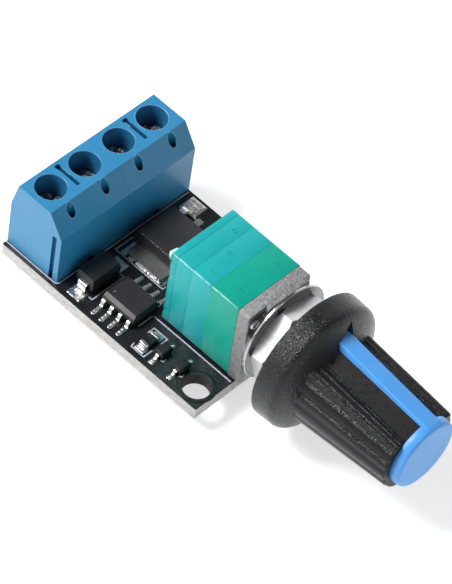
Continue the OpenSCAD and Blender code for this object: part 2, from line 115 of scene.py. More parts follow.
def prism(bm, outline, start, end, axis):
    """Adds an outline of (u, v) points, extruded from start to end along an axis."""
    first = [bm.verts.new(PLACE[axis](u, v, start)) for u, v in outline]
    last = [bm.verts.new(PLACE[axis](u, v, end)) for u, v in outline]
    bm.faces.new(first)
    bm.faces.new(reversed(last))
    for k in range(len(outline)):
        n = (k + 1) % len(outline)
        bm.faces.new((first[n], first[k], last[k], last[n]))


def arc(centre, radius, start, end, steps):
    """Points on an arc, angles in degrees counted from the first axis."""
    angles = [math.radians(start + (end - start) * k / steps) for k in range(steps + 1)]
    return [(centre[0] + radius * math.cos(a), centre[1] + radius * math.sin(a)) for a in angles]


def rounded_rectangle(u0, u1, v0, v1, radius, steps):
    outline = arc((u1 - radius, v0 + radius), radius, -90, 0, steps)
    outline += arc((u1 - radius, v1 - radius), radius, 0, 90, steps)
    outline += arc((u0 + radius, v1 - radius), radius, 90, 180, steps)
    return outline + arc((u0 + radius, v0 + radius), radius, 180, 270, steps)


def grid_surface(bm, rings):
    """Joins closed rings of points, all of one length, with quads."""
    rows = [[bm.verts.new(p) for p in ring] for ring in rings]
    count = len(rows[0])
    for a, b in zip(rows, rows[1:]):
        for k in range(count):
            n = (k + 1) % count
            bm.faces.new((a[k], a[n], b[n], b[k]))
    return rows


def solid(bm, rings):
    """Joins rings and closes the first and the last with a face."""
    rows = grid_surface(bm, rings)
    bm.faces.new(rows[0])
    bm.faces.new(list(reversed(rows[-1])))
    return rows


def turned_rings(profile, steps, centre=(0, 0), upright=False):
    """Rings of (radius, distance) points round the shaft's axis, or round an upright axis."""
    rings = []
    for radius, distance in profile:
        ring = []
        for k in range(steps):
            s, c = radius * math.sin(TAU * k / steps), radius * math.cos(TAU * k / steps)
            if upright:
                ring.append((centre[0] + c, centre[1] + s, distance))
            else:
                ring.append((centre[0] + s, -distance, AXIS_Z + centre[1] + c))
        rings.append(ring)
    return rings


def lathe(bm, profile, steps, centre=(0, 0), upright=False):
    """Turns a profile; one that ends where it starts is a ring, any other gets flat ends."""
    join = grid_surface if profile[0] == profile[-1] else solid
    join(bm, turned_rings(profile, steps, centre, upright))


def post(bm, profile, steps, x, y):
    """Turns (radius, height) points round an upright axis at a place."""
    lathe(bm, profile, steps, (x, y), True)


def stack(bm, levels, radius, axis="z", steps=2):
    """A solid through rounded rectangles: each level is (place along the axis, u0, u1, v0, v1)."""
    rings = []
    for w, u0, u1, v0, v1 in levels:
        r = min(radius, (u1 - u0) * 0.49, (v1 - v0) * 0.49)
        rings.append([PLACE[axis](u, v, w) for u, v in rounded_rectangle(u0, u1, v0, v1, r, steps)])
    return solid(bm, rings)


def rounded_levels(start, end, u0, u1, v0, v1, edge, steps=3):
    """Levels of a block from start to end whose end edges are rounded by a radius."""
    levels = []
    for place, direction in ((start, 1), (end, -1)):
        half = []
        for k in range(steps + 1):
            a = math.pi / 2 * k / steps
            inset = edge * (1 - math.sin(a))
            half.append((place + direction * edge * (1 - math.cos(a)),
                         u0 + inset, u1 - inset, v0 + inset, v1 - inset))
        levels += half[::direction]
    return levels


def fillet_path(points, radius, steps=5):
    """Rounds the inner corners of a path of (u, v) points."""
    points = [Vector(p) for p in points]
    rounded = [points[0]]
    for before, corner, after in zip(points, points[1:], points[2:]):
        a, b = before - corner, after - corner
        shortest = min(a.length, b.length)
        a, b = a.normalized(), b.normalized()
        reach = min(radius / math.tan(a.angle(b) / 2), shortest * 0.49)
        start, end = corner + a * reach, corner + b * reach
        for k in range(steps + 1):
            t = k / steps
            rounded.append(start * (1 - t) ** 2 + corner * 2 * t * (1 - t) + end * t * t)
    return rounded + [points[-1]]


def bent_strip(bm, points, thickness, centre, width, radius):
    """A strip of sheet metal that follows a path of (x, z) points, as wide as stated along Y."""
    path = fillet_path(points, radius)
    left, right = [], []
    for k, p in enumerate(path):
        along = (path[min(len(path) - 1, k + 1)] - path[max(0, k - 1)]).normalized()
        normal = Vector((-along.y, along.x)) * thickness / 2
        left.append(tuple(p + normal))
        right.append(tuple(p - normal))
    prism(bm, left + right[::-1], centre - width / 2, centre + width / 2, "y")


def dome(bm, x, y, low, radius, height, steps=20):
    """A low round bead standing on a surface."""
    angles = [math.pi / 2 * k / 4.4 for k in range(5)]
    profile = [(radius * math.cos(a), low + height * math.sin(a)) for a in angles]
    post(bm, profile, steps, x, y)


def ribbon(bm, points, width, low, high):
    """A flat strip that follows (x, y) points, with mitred corners."""
    points = [Vector(p) for p in points]
    rings = []
    for k, p in enumerate(points):
        before = points[k - 1] if k else p - (points[1] - p)
        after = points[k + 1] if k < len(points) - 1 else p + (p - points[k - 1])
        a, b = (p - before).normalized(), (after - p).normalized()
        normal = Vector((-(a + b).y, (a + b).x)).normalized()
        reach = width / 2 / max(0.4, normal.dot(Vector((-a.y, a.x))))
        l, r = p + normal * reach, p - normal * reach
        rings.append([(r.x, r.y, low), (l.x, l.y, low), (l.x, l.y, high), (r.x, r.y, high)])
    solid(bm, rings)


def bevel_sharp(bm, width, segments, degrees):
    limit = math.radians(degrees)
    sharp = [e for e in bm.edges if len(e.link_faces) == 2 and e.calc_face_angle(0) > limit]
    bmesh.ops.bevel(bm, geom=sharp, offset=width, segments=segments, profile=0.6,
                    affect="EDGES", clamp_overlap=True)


def link_object(name, data):
    made = bpy.data.objects.new(name, data)
    bpy.context.scene.collection.objects.link(made)
    return made


def scratch_object(bm):
    bmesh.ops.recalc_face_normals(bm, faces=bm.faces)
    mesh = bpy.data.meshes.new("scratch")
    bm.to_mesh(mesh)
    bm.free()
    return link_object("scratch", mesh)


def combine(bm, tool, operation="DIFFERENCE"):
    """Boolean of two closed meshes; frees both and returns a new one with its normals set."""
    body, cutter = scratch_object(bm), scratch_object(tool)
    boolean = body.modifiers.new("cut", "BOOLEAN")
    boolean.object = cutter
    boolean.operation = operation
    boolean.solver = "EXACT"
    boolean.use_self = True
    bpy.context.view_layer.update()
    view = bpy.context.evaluated_depsgraph_get()
    result = bpy.data.meshes.new_from_object(body.evaluated_get(view))
    made = bmesh.new()
    made.from_mesh(result)
    made.normal_update()
    for spent in (body.data, cutter.data, result):
        bpy.data.meshes.remove(spent)
    return made


def make(name, bm, material, body="board", stands_for=(), smooth=32):
    """Turns a mesh in millimetres into a piece that rides on a body.

    Shading is smooth, but stops at edges sharper than the angle given in degrees."""
    bmesh.ops.remove_doubles(bm, verts=bm.verts, dist=0.0008)
    bmesh.ops.dissolve_degenerate(bm, dist=0.0004, edges=bm.edges)
    bmesh.ops.recalc_face_normals(bm, faces=bm.faces)
    limit = math.radians(smooth)
    for e in bm.edges:
        e.smooth = len(e.link_faces) == 2 and e.calc_face_angle(0) < limit
    for f in bm.faces:
        f.smooth = True
    bmesh.ops.scale(bm, vec=(MM,) * 3, verts=bm.verts)
    mesh = bpy.data.meshes.new(name)
    bm.to_mesh(mesh)
    bm.free()
    for m in material if isinstance(material, list) else [material]:
        mesh.materials.append(m)
    piece = link_object(name, mesh)
    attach(piece, body)
    if stands_for:
        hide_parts(*stands_for)


# ---- Materials ----

def set_inputs(node, **values):
    """Sets a node's sockets; an underscore in a name stands for a space."""
    for name, value in values.items():
        node.inputs[name.replace("_", " ")].default_value = value


class Surface:
    """A procedural material: a Principled shader with noise on colour, roughness and relief.

    Coordinates are the object's own, in millimetres. Every layer names its target and its
    amount, and then its noise: features per millimetre, detail, the noise values that count
    as nothing and as all of the layer, and the stretch along the three axes."""

    def __init__(self, name, colour, rough, metallic=0.0, coat=0.0, coat_rough=0.1, specular=0.5,
                 subsurface=0.0):
        self.material = bpy.data.materials.new(name)
        self.material.use_nodes = True
        self.nodes = self.material.node_tree.nodes
        self.links = self.material.node_tree.links
        self.shader = self.nodes["Principled BSDF"]
        set_inputs(self.shader, Base_Color=(*colour, 1), Roughness=rough, Metallic=metallic,
                   Coat_Weight=coat, Coat_Roughness=coat_rough, Specular_IOR_Level=specular,
                   Subsurface_Weight=subsurface, Subsurface_Scale=0.6 * MM)
        self.feeds = {}
        scale = self.node("ShaderNodeVectorMath", operation="SCALE")
        set_inputs(scale, Scale=1 / MM)
        self.links.new(self.node("ShaderNodeTexCoord").outputs["Object"], scale.inputs[0])
        self.place = scale.outputs[0]

    def node(self, kind, **settings):
        made = self.nodes.new(kind)
        for key, value in settings.items():
            setattr(made, key, value)
        return made

    def spread(self, value, low, high):
        """Brings values between low and high to 0..1."""
        made = self.node("ShaderNodeMapRange")
        set_inputs(made, From_Min=low, From_Max=high)
        self.links.new(value, made.inputs["Value"])
        return made.outputs["Result"]

    def noise(self, per_mm, detail=3, low=0.35, high=0.65, stretch=None):
        made = self.node("ShaderNodeTexNoise")
        set_inputs(made, Scale=per_mm, Detail=detail, Roughness=0.55)
        place = self.place
        if stretch:
            mapping = self.node("ShaderNodeMapping")
            set_inputs(mapping, Scale=stretch)
            self.links.new(place, mapping.inputs["Vector"])
            place = mapping.outputs["Vector"]
        self.links.new(place, made.inputs["Vector"])
        return self.spread(made.outputs["Fac"], low, high)

    def edges(self, radius):
        """1 along edges within a radius in millimetres, 0 on open faces."""
        bevel = self.node("ShaderNodeBevel", samples=6)
        set_inputs(bevel, Radius=radius * MM)
        dot = self.node("ShaderNodeVectorMath", operation="DOT_PRODUCT")
        self.links.new(bevel.outputs["Normal"], dot.inputs[0])
        self.links.new(self.node("ShaderNodeNewGeometry").outputs["Normal"], dot.inputs[1])
        return self.spread(dot.outputs["Value"], 0.98, 0.65)

    def times(self, a, b):
        """Product of a socket and a socket or number."""
        made = self.node("ShaderNodeMath", operation="MULTIPLY")
        self.links.new(a, made.inputs[0])
        if isinstance(b, (int, float)):
            made.inputs[1].default_value = b
        else:
            self.links.new(b, made.inputs[1])
        return made.outputs[0]

    def blend(self, socket, kind, first, result, value, mask, amount):
        """Mixes a value over what the shader's socket has, where the mask is 1."""
        mix = self.node("ShaderNodeMix", data_type=kind)
        if socket in self.feeds:
            self.links.new(self.feeds[socket], mix.inputs[first])
        else:
            mix.inputs[first].default_value = self.shader.inputs[socket].default_value
        mix.inputs[first + 1].default_value = value
        self.links.new(self.times(mask, amount), mix.inputs[0])
        self.feeds[socket] = mix.outputs[result]
        self.links.new(self.feeds[socket], self.shader.inputs[socket])
        return self

    def paint(self, colour, amount, *noise, **more):
        return self.blend("Base Color", "RGBA", 6, 2, (*colour, 1), self.noise(*noise, **more), amount)

    def edge_highlight(self, colour, amount, radius, *noise):
        """Paints a highlight along edges within a radius, in patches."""
        mask = self.times(self.edges(radius), self.noise(*noise))
        return self.blend("Base Color", "RGBA", 6, 2, (*colour, 1), mask, amount)

    def roughen(self, rough, *noise, **more):
        return self.blend("Roughness", "FLOAT", 2, 0, rough, self.noise(*noise, **more), 1.0)

    def bump(self, depth, strength, *noise, **more):
        """Adds relief of a depth in millimetres."""
        made = self.node("ShaderNodeBump")
        set_inputs(made, Strength=strength, Distance=depth * MM)
        self.links.new(self.noise(*noise, **more), made.inputs["Height"])
        if "Normal" in self.feeds:
            self.links.new(self.feeds["Normal"], made.inputs["Normal"])
        self.feeds["Normal"] = made.outputs["Normal"]
        self.links.new(self.feeds["Normal"], self.shader.inputs["Normal"])
        return self


def scaled(colour, factor):
    return tuple(c * factor for c in colour)


MASK = (Surface("board_mask", (0.0065, 0.0070, 0.0085), 0.24, coat=0.08, coat_rough=0.08, specular=0.38)
        .paint((0.012, 0.014, 0.017), 1, 0.35, 4)
        .paint((0.05, 0.055, 0.06), 0.5, 14, 2, 0.70, 0.78)
        .roughen(0.36, 0.8, 4)
        .bump(0.012, 0.5, 1.6)
        .bump(0.004, 0.4, 9, 2)).material
CORE = (Surface("board_core", (0.47, 0.46, 0.44), 0.62)
        .paint((0.29, 0.28, 0.265), 0.75, 1.3, 5, stretch=(1, 1, 2.4))
        .paint((0.72, 0.72, 0.70), 0.8, 5, 4, 0.5, 0.68, (0.35, 0.35, 4))
        .paint((0.16, 0.14, 0.12), 0.7, 2.2, 5, 0.62, 0.72, (0.3, 0.3, 2.2))
        .bump(0.03, 1, 6, 4, stretch=(0.5, 0.5, 2))).material
# The walls of the board's holes, painted dark as shade.
HOLE_SHADE = (Surface("hole_wall_painted_shade", (0.030, 0.026, 0.023), 0.6, specular=0.12)
        .paint((0.10, 0.09, 0.08), 0.7, 4, 3, 0.5, 0.7)
        .bump(0.04, 1, 6)).material
INK = (Surface("print_ink", (0.42, 0.44, 0.52), 0.5)
       .paint((0.16, 0.17, 0.21), 0.9, 5, 3, 0.46, 0.66)
       .bump(0.006, 1, 12, 2)).material
SOLDER = (Surface("solder", (0.72, 0.71, 0.68), 0.24, metallic=1)
          .paint((0.50, 0.50, 0.50), 0.8, 2.4, 4)
          .roughen(0.42, 5)
          .bump(0.03, 0.7, 3.2)).material
TIN = (Surface("tin", (0.80, 0.79, 0.76), 0.20, metallic=1)
       .paint((0.60, 0.58, 0.54), 0.6, 4)
       .roughen(0.36, 6)
       .bump(0.008, 0.7, 8)).material
DULL_TIN = (Surface("dull_tin", (0.52, 0.51, 0.49), 0.32, metallic=1)
            .paint((0.34, 0.33, 0.31), 0.8, 2.2)
            .paint((0.80, 0.79, 0.76), 0.7, 5, 3, 0.62, 0.72)
            .bump(0.01, 0.7, 7)).material
TAB_METAL = (Surface("tab_metal", (0.34, 0.33, 0.33), 0.34, metallic=1)
             .paint((0.22, 0.22, 0.225), 0.7, 0.8, stretch=(2, 0.5, 1))
             .paint((0.52, 0.50, 0.48), 0.6, 5, 3, 0.55, 0.7, (0.3, 3, 1))
             .roughen(0.46, 3, stretch=(0.3, 2, 1))
             .bump(0.012, 0.7, 7, stretch=(0.3, 3, 1))).material
BLUE = (Surface("terminal_blue", (0.018, 0.185, 0.370), 0.36, specular=0.6, subsurface=0.04)
        .paint((0.023, 0.210, 0.415), 0.7, 0.25)
        .paint((0.045, 0.245, 0.46), 0.4, 3.5, 4, 0.55, 0.75)
        # The pale edge colour is a painted highlight along the edges.
        .edge_highlight((0.30, 0.52, 0.66), 0.4, 0.07, 2.2, 4, 0.46, 0.62)
        .roughen(0.40, 2.5, 4)
        .bump(0.006, 0.6, 11)).material
# The same blue, painted darker as shade inside the wells, the small holes and the slits.
BLUE_SHADE = (Surface("blue_painted_shade", (0.012, 0.125, 0.265), 0.4)
             .paint((0.008, 0.085, 0.185), 0.7, 1.0)
             .bump(0.01, 1, 9)).material
BURR = (Surface("burr_white", (0.30, 0.50, 0.64), 0.45)
        .paint((0.06, 0.26, 0.44), 0.9, 6)
        .bump(0.02, 1, 14)).material
# Screw steel painted nearly black as shade at the bottom of the wells, with bright specks as painted
# glints.
SCREW_SHADE_GLINTS = (Surface("screw_steel", (0.34, 0.36, 0.40), 0.24, metallic=0.6)
         .paint((0.035, 0.04, 0.05), 0.95, 1.4)
         .paint((0.95, 0.97, 1.0), 0.9, 2.4, 2, 0.55, 0.61)
         .bump(0.06, 1, 3.5)).material
BRASS = (Surface("brass", (0.66, 0.53, 0.28), 0.30, metallic=1)
         .paint((0.50, 0.44, 0.30), 0.6, 1.5)
         .bump(0.01, 1, 6, stretch=(1, 1, 6))).material


def moulded_pot(name, colour, shade, edge):
    return (Surface(name, colour, 0.30, specular=0.30, subsurface=0.05)
            .paint(shade, 0.7, 0.22, stretch=(1, 1.6, 0.5))
            # The pale edge colour is a painted highlight along the edges.
            .edge_highlight(edge, 0.45, 0.06, 1.6, 4, 0.42, 0.60)
            .roughen(0.42, 1.2, stretch=(1, 2, 0.6))
            .bump(0.012, 0.5, 1.1)
            .bump(0.003, 0.6, 12, 2)).material


GREEN = moulded_pot("pot_green", (0.002, 0.300, 0.225), (0.002, 0.270, 0.200), (0.16, 0.52, 0.44))
TEAL = moulded_pot("pot_teal", (0.012, 0.345, 0.355), (0.010, 0.300, 0.312), (0.18, 0.55, 0.54))
ZINC = (Surface("die_cast", (0.34, 0.34, 0.345), 0.40, metallic=0.75)
        .paint((0.20, 0.20, 0.205), 0.7, 2.2, 5)
        .paint((0.62, 0.62, 0.62), 0.8, 7, 3, 0.60, 0.74)
        .paint((0.08, 0.08, 0.085), 0.8, 4, 4, 0.60, 0.70, (1, 3, 1))
        .roughen(0.58, 3)
        .bump(0.05, 0.9, 4, 4)
        .bump(0.022, 0.9, 12)).material
# Pale flash for the torn curl, and a painted highlight for the line along the upper left edge.
FLASH_AND_HIGHLIGHT = (Surface("pale_flash_and_highlight", (0.26, 0.66, 0.62), 0.4, subsurface=0.1)
         .paint((0.62, 0.78, 0.76), 0.8, 4)
         .bump(0.02, 1, 9)).material
WASHER = (Surface("plated_washer", (0.46, 0.46, 0.45), 0.14, metallic=1)
          .paint((0.38, 0.38, 0.37), 0.6, 0.4, 2)
          .roughen(0.24, 2.5)
          .bump(0.003, 1, 3, 2)).material
# The washer's plating painted darker on its front face as shade.
WASHER_FACE_SHADE = (Surface("washer_face_painted_shade", (0.24, 0.24, 0.24), 0.20, metallic=1)
               .paint((0.32, 0.32, 0.31), 0.6, 0.5, 2)
               .bump(0.003, 1, 3, 2)).material
NUT = (Surface("plated_nut", (0.72, 0.73, 0.75), 0.36, metallic=0.6)
       .paint((0.62, 0.64, 0.67), 0.7, 1.0, stretch=(1, 0.2, 1))
       .paint((0.86, 0.87, 0.89), 0.6, 6, 3, 0.5, 0.66, (1, 0.06, 1))
       .roughen(0.34, 6, stretch=(1, 0.06, 1))
       .bump(0.004, 0.6, 7, stretch=(1, 0.05, 1))).material
ALUMINIUM = (Surface("turned_aluminium", (0.66, 0.66, 0.67), 0.28, metallic=1)
             .paint((0.50, 0.50, 0.51), 0.7, 5, stretch=(0.1, 4, 0.1))
             .bump(0.006, 1, 5, stretch=(0.1, 5, 0.1))).material


def knob_plastic(name, grain, shine, specular):
    """Black plastic; grain is the depth of the spark texture."""
    return (Surface(name, (0.0085, 0.0085, 0.0100), shine, specular=specular)
            .paint((0.0105, 0.0105, 0.0125), 1, 0.3)
            .roughen(shine + 0.08, 3, 2)
            .bump(grain, 1, 5.5, 1, 0.15, 0.85)
            .bump(grain * 0.25, 0.8, 11, 1, 0.15, 0.85)).material


def cap_plastic(name, colour, shade):
    return (Surface(name, colour, 0.36, specular=0.45, subsurface=0.06)
            .paint(shade, 0.6, 0.4)
            .paint((0.30, 0.60, 0.98), 0.6, 9, 3, 0.66, 0.76)
            .roughen(0.48, 3)
            .bump(0.008, 0.7, 8)).material


def package_epoxy(name, colour, rough):
    return (Surface(name, colour, rough, specular=0.4)
            .paint(scaled(colour, 1.4), 1, 0.6)
            .paint((0.07, 0.07, 0.075), 0.3, 16, 2, 0.68, 0.78)
            .roughen(rough + 0.14, 5)
            .bump(0.008, 0.8, 13)).material


def plain_moulding(name, colour, rough):
    return (Surface(name, colour, rough)
            .paint(scaled(colour, 0.8), 0.6, 1.2)
            .bump(0.006, 1, 8)).material


KNOB_TEXTURED = knob_plastic("knob_textured", 0.065, 0.15, 0.34)
KNOB_SMOOTH = knob_plastic("knob_smooth", 0.004, 0.26, 0.20)
CAP = cap_plastic("cap_plastic", (0.060, 0.285, 0.690), (0.075, 0.320, 0.740))
# A paler copy of the cap's blue for its end face: a painted sheen of reflected light.
CAP_FACE_SHEEN = cap_plastic("cap_face_painted_sheen", (0.11, 0.335, 0.70), (0.13, 0.36, 0.74))
EPOXY = package_epoxy("package_epoxy", (0.0110, 0.0118, 0.0140), 0.38)
# A paler copy of the epoxy for the timer's bevel: a painted highlight.
EPOXY_HIGHLIGHT = package_epoxy("package_bevel_highlight", (0.085, 0.083, 0.088), 0.5)
EPOXY_DIODE = package_epoxy("diode_epoxy", (0.0075, 0.0085, 0.0100), 0.34)
GLASS = plain_moulding("chip_glass", (0.012, 0.012, 0.013), 0.2)
CERAMIC = plain_moulding("chip_ceramic", (0.30, 0.19, 0.11), 0.45)
NYLON = plain_moulding("nylon", (0.72, 0.69, 0.60), 0.4)
PHENOLIC = plain_moulding("phenolic", (0.10, 0.05, 0.025), 0.5)
ROTOR_BLACK = plain_moulding("rotor_black", (0.02, 0.02, 0.021), 0.4)


# ---- Circuit board ----

def board():
    """The bare board; its edges show the core, and the walls of its holes are painted dark as shade."""
    low, high = BOARD_LOW, BOARD_HIGH
    bm = bmesh.new()
    prism(bm, rounded_rectangle(low.x, high.x, low.y, high.y, 0.12, 2), low.z, high.z, "z")
    holes = bmesh.new()
    for x in (HOLE_X, -HOLE_X):
        prism(holes, arc((x, 0), HOLE_RADIUS, 0, 355, 71), low.z - 1, high.z + 1, "z")
    bm = combine(bm, holes)
    bevel_sharp(bm, 0.04, 1, 60)
    bm.normal_update()
    for f in bm.faces:
        x, y, _ = f.calc_center_median()
        if abs(f.normal.z) < 0.3:
            f.material_index = 2 if math.hypot(abs(x) - HOLE_X, y) < HOLE_RADIUS + 0.15 else 1
    make("board", bm, [MASK, CORE, HOLE_SHADE], stands_for=["pcb"])


board()


# ---- White print, tented holes and traces on the board ----

def white_print():
    """Outlines of the parts, printed on the board."""
    bm = bmesh.new()

    def line(points, width=0.15):
        ribbon(bm, points, width, FOOT, BOARD_TOP + 0.022)

    front, left = BLOCK_LOW.y - 0.25, BLOCK_LEFT - 0.17
    corner = arc((left + 0.5, front + 0.5), 0.5, 180, 270, 5)
    line([(left, BLOCK_HIGH.y)] + corner + [(BOARD_HIGH.x - 0.25, front)])
    pot_left = POT_LOW.x - 0.3
    line([(pot_left, POT_HIGH.y + 6.7), (pot_left, -BOARD_TOP - 0.3)], 0.18)
    left, back, front = TAB_LOW.x - 0.36, FET.y + 3.87, FET.y - 3.4
    line([(FET.x - 2.3, back), (left, back), (left, front), (left + 0.5, front)])
    line([(FET.x + 4.85, FET.y + 1.9), (FET.x + 4.6, FET.y + 0.4)], 0.24)
    front = TIMER.y - 2.61
    line([(TIMER.x - 1.3, front), (pot_left - 0.12, front)], 0.11)
    left, right, front = FLYBACK.x - 2.5, FLYBACK.x + 2.35, FLYBACK.y - 1.69
    line([(left, front + 0.5), (left, front), (right, front), (right, front + 0.5)])
    left, right = PULL_UP.x - 1.86, PULL_UP.x + 1.74
    back, front = PULL_UP.y + 1.0, PULL_UP.y - 1.0
    line([(left + 0.55, back), (left, back - 0.12), (left, front), (PULL_UP.x - 0.55, front)], 0.17)
    line([(PULL_UP.x + 0.8, back), (right, back), (right, front), (PULL_UP.x + 0.75, front)], 0.17)
    for x, y, _ in STEERING:
        line([(x - 0.85, y - 0.52), (x - 0.78, y - 0.8), (x - 0.25, y - 0.8)], 0.13)
        line([(x - 0.1, y + 0.82), (x + 0.65, y + 0.82)], 0.13)
    for y in (8.3, 5.7, 3.1):
        line([(5.9, y - 0.95), (9.3, y - 0.95)], 0.15)
    make("white_print", bm, INK)


def traces():
    """Copper under the mask, which lifts it a little, and the tented holes."""
    bm = bmesh.new()
    runs = [
        ([(-9.3, 14.3), (-9.9, 13.6), (-9.9, 9.4), (-9.0, 8.9)], 0.32),
        ([(-9.1, 11.8), (-8.3, 11.8), (-7.4, 10.9), (-7.4, 9.3)], 0.3),
        ([(-9.1, 10.5), (-8.5, 9.9), (-8.5, 8.3)], 0.3),
        ([(-6.7, 7.5), (-5.8, 7.5), (-5.8, 9.3)], 0.3),
        ([(-6.5, 5.5), (-5.8, 4.9), (-5.8, 0.9), (-6.6, 0.1)], 0.3),
        ([(-9.2, 5.5), (-9.9, 4.8), (-9.9, 2.9), (-9.2, 2.8)], 0.3),
        ([(-2.1, 14.3), (-1.9, 15.4), (-2.5, 16.3), (-3.2, 16.3)], 0.32),
        ([(-2.1, 10.5), (-1.2, 10.5), (-0.6, 9.9)], 0.32),
        ([(8.9, 12.5), (9.6, 11.6), (9.6, 6.2), (8.8, 5.7)], 0.35),
        ([(6.4, 8.3), (5.6, 7.7), (5.6, 3.9), (6.5, 3.1)], 0.3),
        ([(8.8, 3.1), (9.7, 2.4), (9.7, 1.7)], 0.3),
    ]
    for points, width in runs:
        ribbon(bm, points, width, FOOT, BOARD_TOP + 0.012)
    holes = [(-8.87, 9.31), (-8.17, 10.32), (-6.46, 8.77), (-8.41, 4.06), (-9.92, 2.55), (-5.75, 1.43),
             (-5.61, -0.09), (-3.1, 10.9), (0.2, 10.4), (8.7, 14.6), (9.7, 13.4), (6.0, 9.9), (5.9, 1.5)]
    cover = [(0.30, FOOT), (0.28, BOARD_TOP + 0.02), (0.14, BOARD_TOP + 0.024), (0.09, BOARD_TOP - 0.008)]
    for x, y in holes:
        post(bm, cover, 20, x, y)
    ring = [(1.72, FOOT), (1.76, BOARD_TOP + 0.02), (2.18, BOARD_TOP + 0.02), (2.24, FOOT), (1.72, FOOT)]
    for x in (-HOLE_X, HOLE_X):
        post(bm, ring, 64, x, 0)
    make("traces", bm, MASK)


# ---- Pads and solder ----

def pads():
    """Tinned pads of the surface-mounted parts, each with its low domes of solder."""
    rng = random.Random(11)
    bm = bmesh.new()

    def solder(u0, u1, v0, v1, height, radius, wave):
        levels = []
        for shrink, rise in ((0, -0.01), (0, 0.35), (0.05, 0.7), (0.14, 0.92), (0.26, 1.0)):
            cut = shrink * min(u1 - u0, v1 - v0)
            z = BOARD_TOP + max(rise * height, -0.01)
            levels.append((z, u0 + cut, u1 - cut, v0 + cut, v1 - cut))
        for row in stack(bm, levels, radius, "z", 3)[1:]:
            for v in row:
                v.co.x += rng.uniform(-wave, wave)
                v.co.y += rng.uniform(-wave, wave)

    def centred(x, y, half_x, half_y, height, radius, wave):
        solder(x - half_x, x + half_x, y - half_y, y + half_y, height, radius, wave)

    for y in LEAD_ROWS:
        for side in (-1, 1):
            centred(TIMER.x + side * 3.015, y, 0.915, 0.27, 0.09, 0.26, 0.012)
            centred(TIMER.x + side * 3.15, y, 0.42, 0.23, 0.2, 0.22, 0.015)
    for side in (-1, 1):
        centred(FLYBACK.x + side * 2.95, FLYBACK.y, 0.9, 0.98, 0.07, 0.08, 0.015)
        centred(FLYBACK.x + side * 2.72, FLYBACK.y, 0.3, 0.66, 0.2, 0.16, 0.015)
    for middle in STEERING:
        for side, half_x, half_y in ((-1, 0.5, 0.30), (1, 0.28, 0.2)):
            x = middle.x + side * 1.5
            centred(x, middle.y, half_x, half_y, 0.05, 0.1, 0.01)
            centred(x, middle.y, half_x * 0.6, half_y * 0.75, 0.14, 0.2, 0.015)
    for chip in ("resistor", "timing_capacitor", "bypass_capacitor", "gate_resistor"):
        low, high = box_mm(chip + "_caps")
        for side in (-1, 1):
            x = (low.x + high.x) / 2 + side * 1.2
            solder(x - 0.5, x + 0.42, low.y - 0.05, high.y + 0.05, 0.08, 0.1, 0.01)
            x = (low.x + high.x) / 2 + side * 1.08
            solder(x - 0.2, x + 0.2, low.y + 0.1, high.y - 0.1, 0.4, 0.14, 0.015)
    solder(TAB_LOW.x - 0.2, TAB_END, FET.y - 3.1, FET.y + 3.3, 0.05, 0.12, 0.015)
    x = TAB_LOW.x + 0.02
    for k in range(5):
        y = FET.y - 2.4 + 0.5 * k
        height = 0.10 + 0.08 * rng.random() + (0.2 if k == 1 else 0)
        solder(x - 0.16 - 0.04 * rng.random(), x + 0.2, y - 0.3, y + 0.3, height, 0.2, 0.02)
    for side in (-1, 1):
        x, y = FET.x + 5.75, FET.y + side * 2.55
        solder(x - 1.15, x + 1.1, y - 1.1, y + 1.15, 0.06, 0.08, 0.02)
        solder(x - 0.75, x + 0.35, y - 0.75, y + 0.3, 0.3, 0.3, 0.03)
    dome(bm, FET.x + 4.75, FET.y + 1.6, FOOT, 0.3, 0.3)
    make("pads", bm, SOLDER, stands_for=["smd_pads"], smooth=60)


def pad_holes():
    """Dark open holes in the transistor's pad."""
    bm = bmesh.new()
    x = TAB_LOW.x - 0.09
    for dx, dy, radius in ((-0.02, 2.4, 0.15), (0, 1.25, 0.16), (0.1, -0.7, 0.14), (0.1, -2.75, 0.15)):
        post(bm, [(radius + 0.05, BOARD_TOP + 0.03), (radius, BOARD_TOP + 0.075),
                  (radius * 0.8, BOARD_TOP + 0.058)], 18, x + dx, FET.y + dy)
    make("pad_holes", bm, MASK)


def underside_joints():
    """Soldered pins on the underside: a hollow-sided cone round each pin."""
    bm = bmesh.new()
    places = []
    for k in (1, 2, 3, 4):
        low, high = box_mm(f"terminal_contact_{k}")
        places.append(((low.x + high.x) / 2, low.y + 0.25, 1.15))
    low, high = box_mm("pot_terminals")
    places += [(x, (low.y + high.y) / 2, 0.95) for x in (low.x + 0.4, (low.x + high.x) / 2, high.x - 0.4)]
    low, high = box_mm("switch_terminals")
    places += [(x, (low.y + high.y) / 2, 0.95) for x in (low.x + 0.4, high.x - 0.4)]
    for x, y, radius in places:
        profile = [(radius + 0.05, 0.01), (radius, -0.04)]
        for k in range(1, 8):
            t = k / 7
            profile.append((0.52 + (radius - 0.52) * (1 - t) ** 2.2, -0.04 - 0.86 * t))
        profile.append((0.3, -0.98))
        post(bm, profile, 28, x, y)
    make("underside_joints", bm, SOLDER, stands_for=["solder_joints"], smooth=50)


# ---- Surface-mounted parts ----

def package_levels(low, high, draft, waist=0.5, edge=0.06):
    """Levels of a moulded package, widest at its parting line."""
    top = high.z
    middle = low.z + (top - low.z) * waist
    levels = []
    for z, inset in ((low.z, draft), (middle - 0.03, 0.0), (middle + 0.03, 0.0), (top - edge, draft),
                     (top - edge * 0.3, draft + edge * 0.3), (top, draft + edge)):
        levels.append((z, low.x + inset, high.x - inset, low.y + inset, high.y - inset))
    return levels


def plain_package(node, material, draft, radius, waist=0.5):
    bm = bmesh.new()
    low, high = box_mm(node)
    stack(bm, package_levels(low, high, draft, waist), radius)
    make(node + "_moulding", bm, material, stands_for=[node], smooth=20)


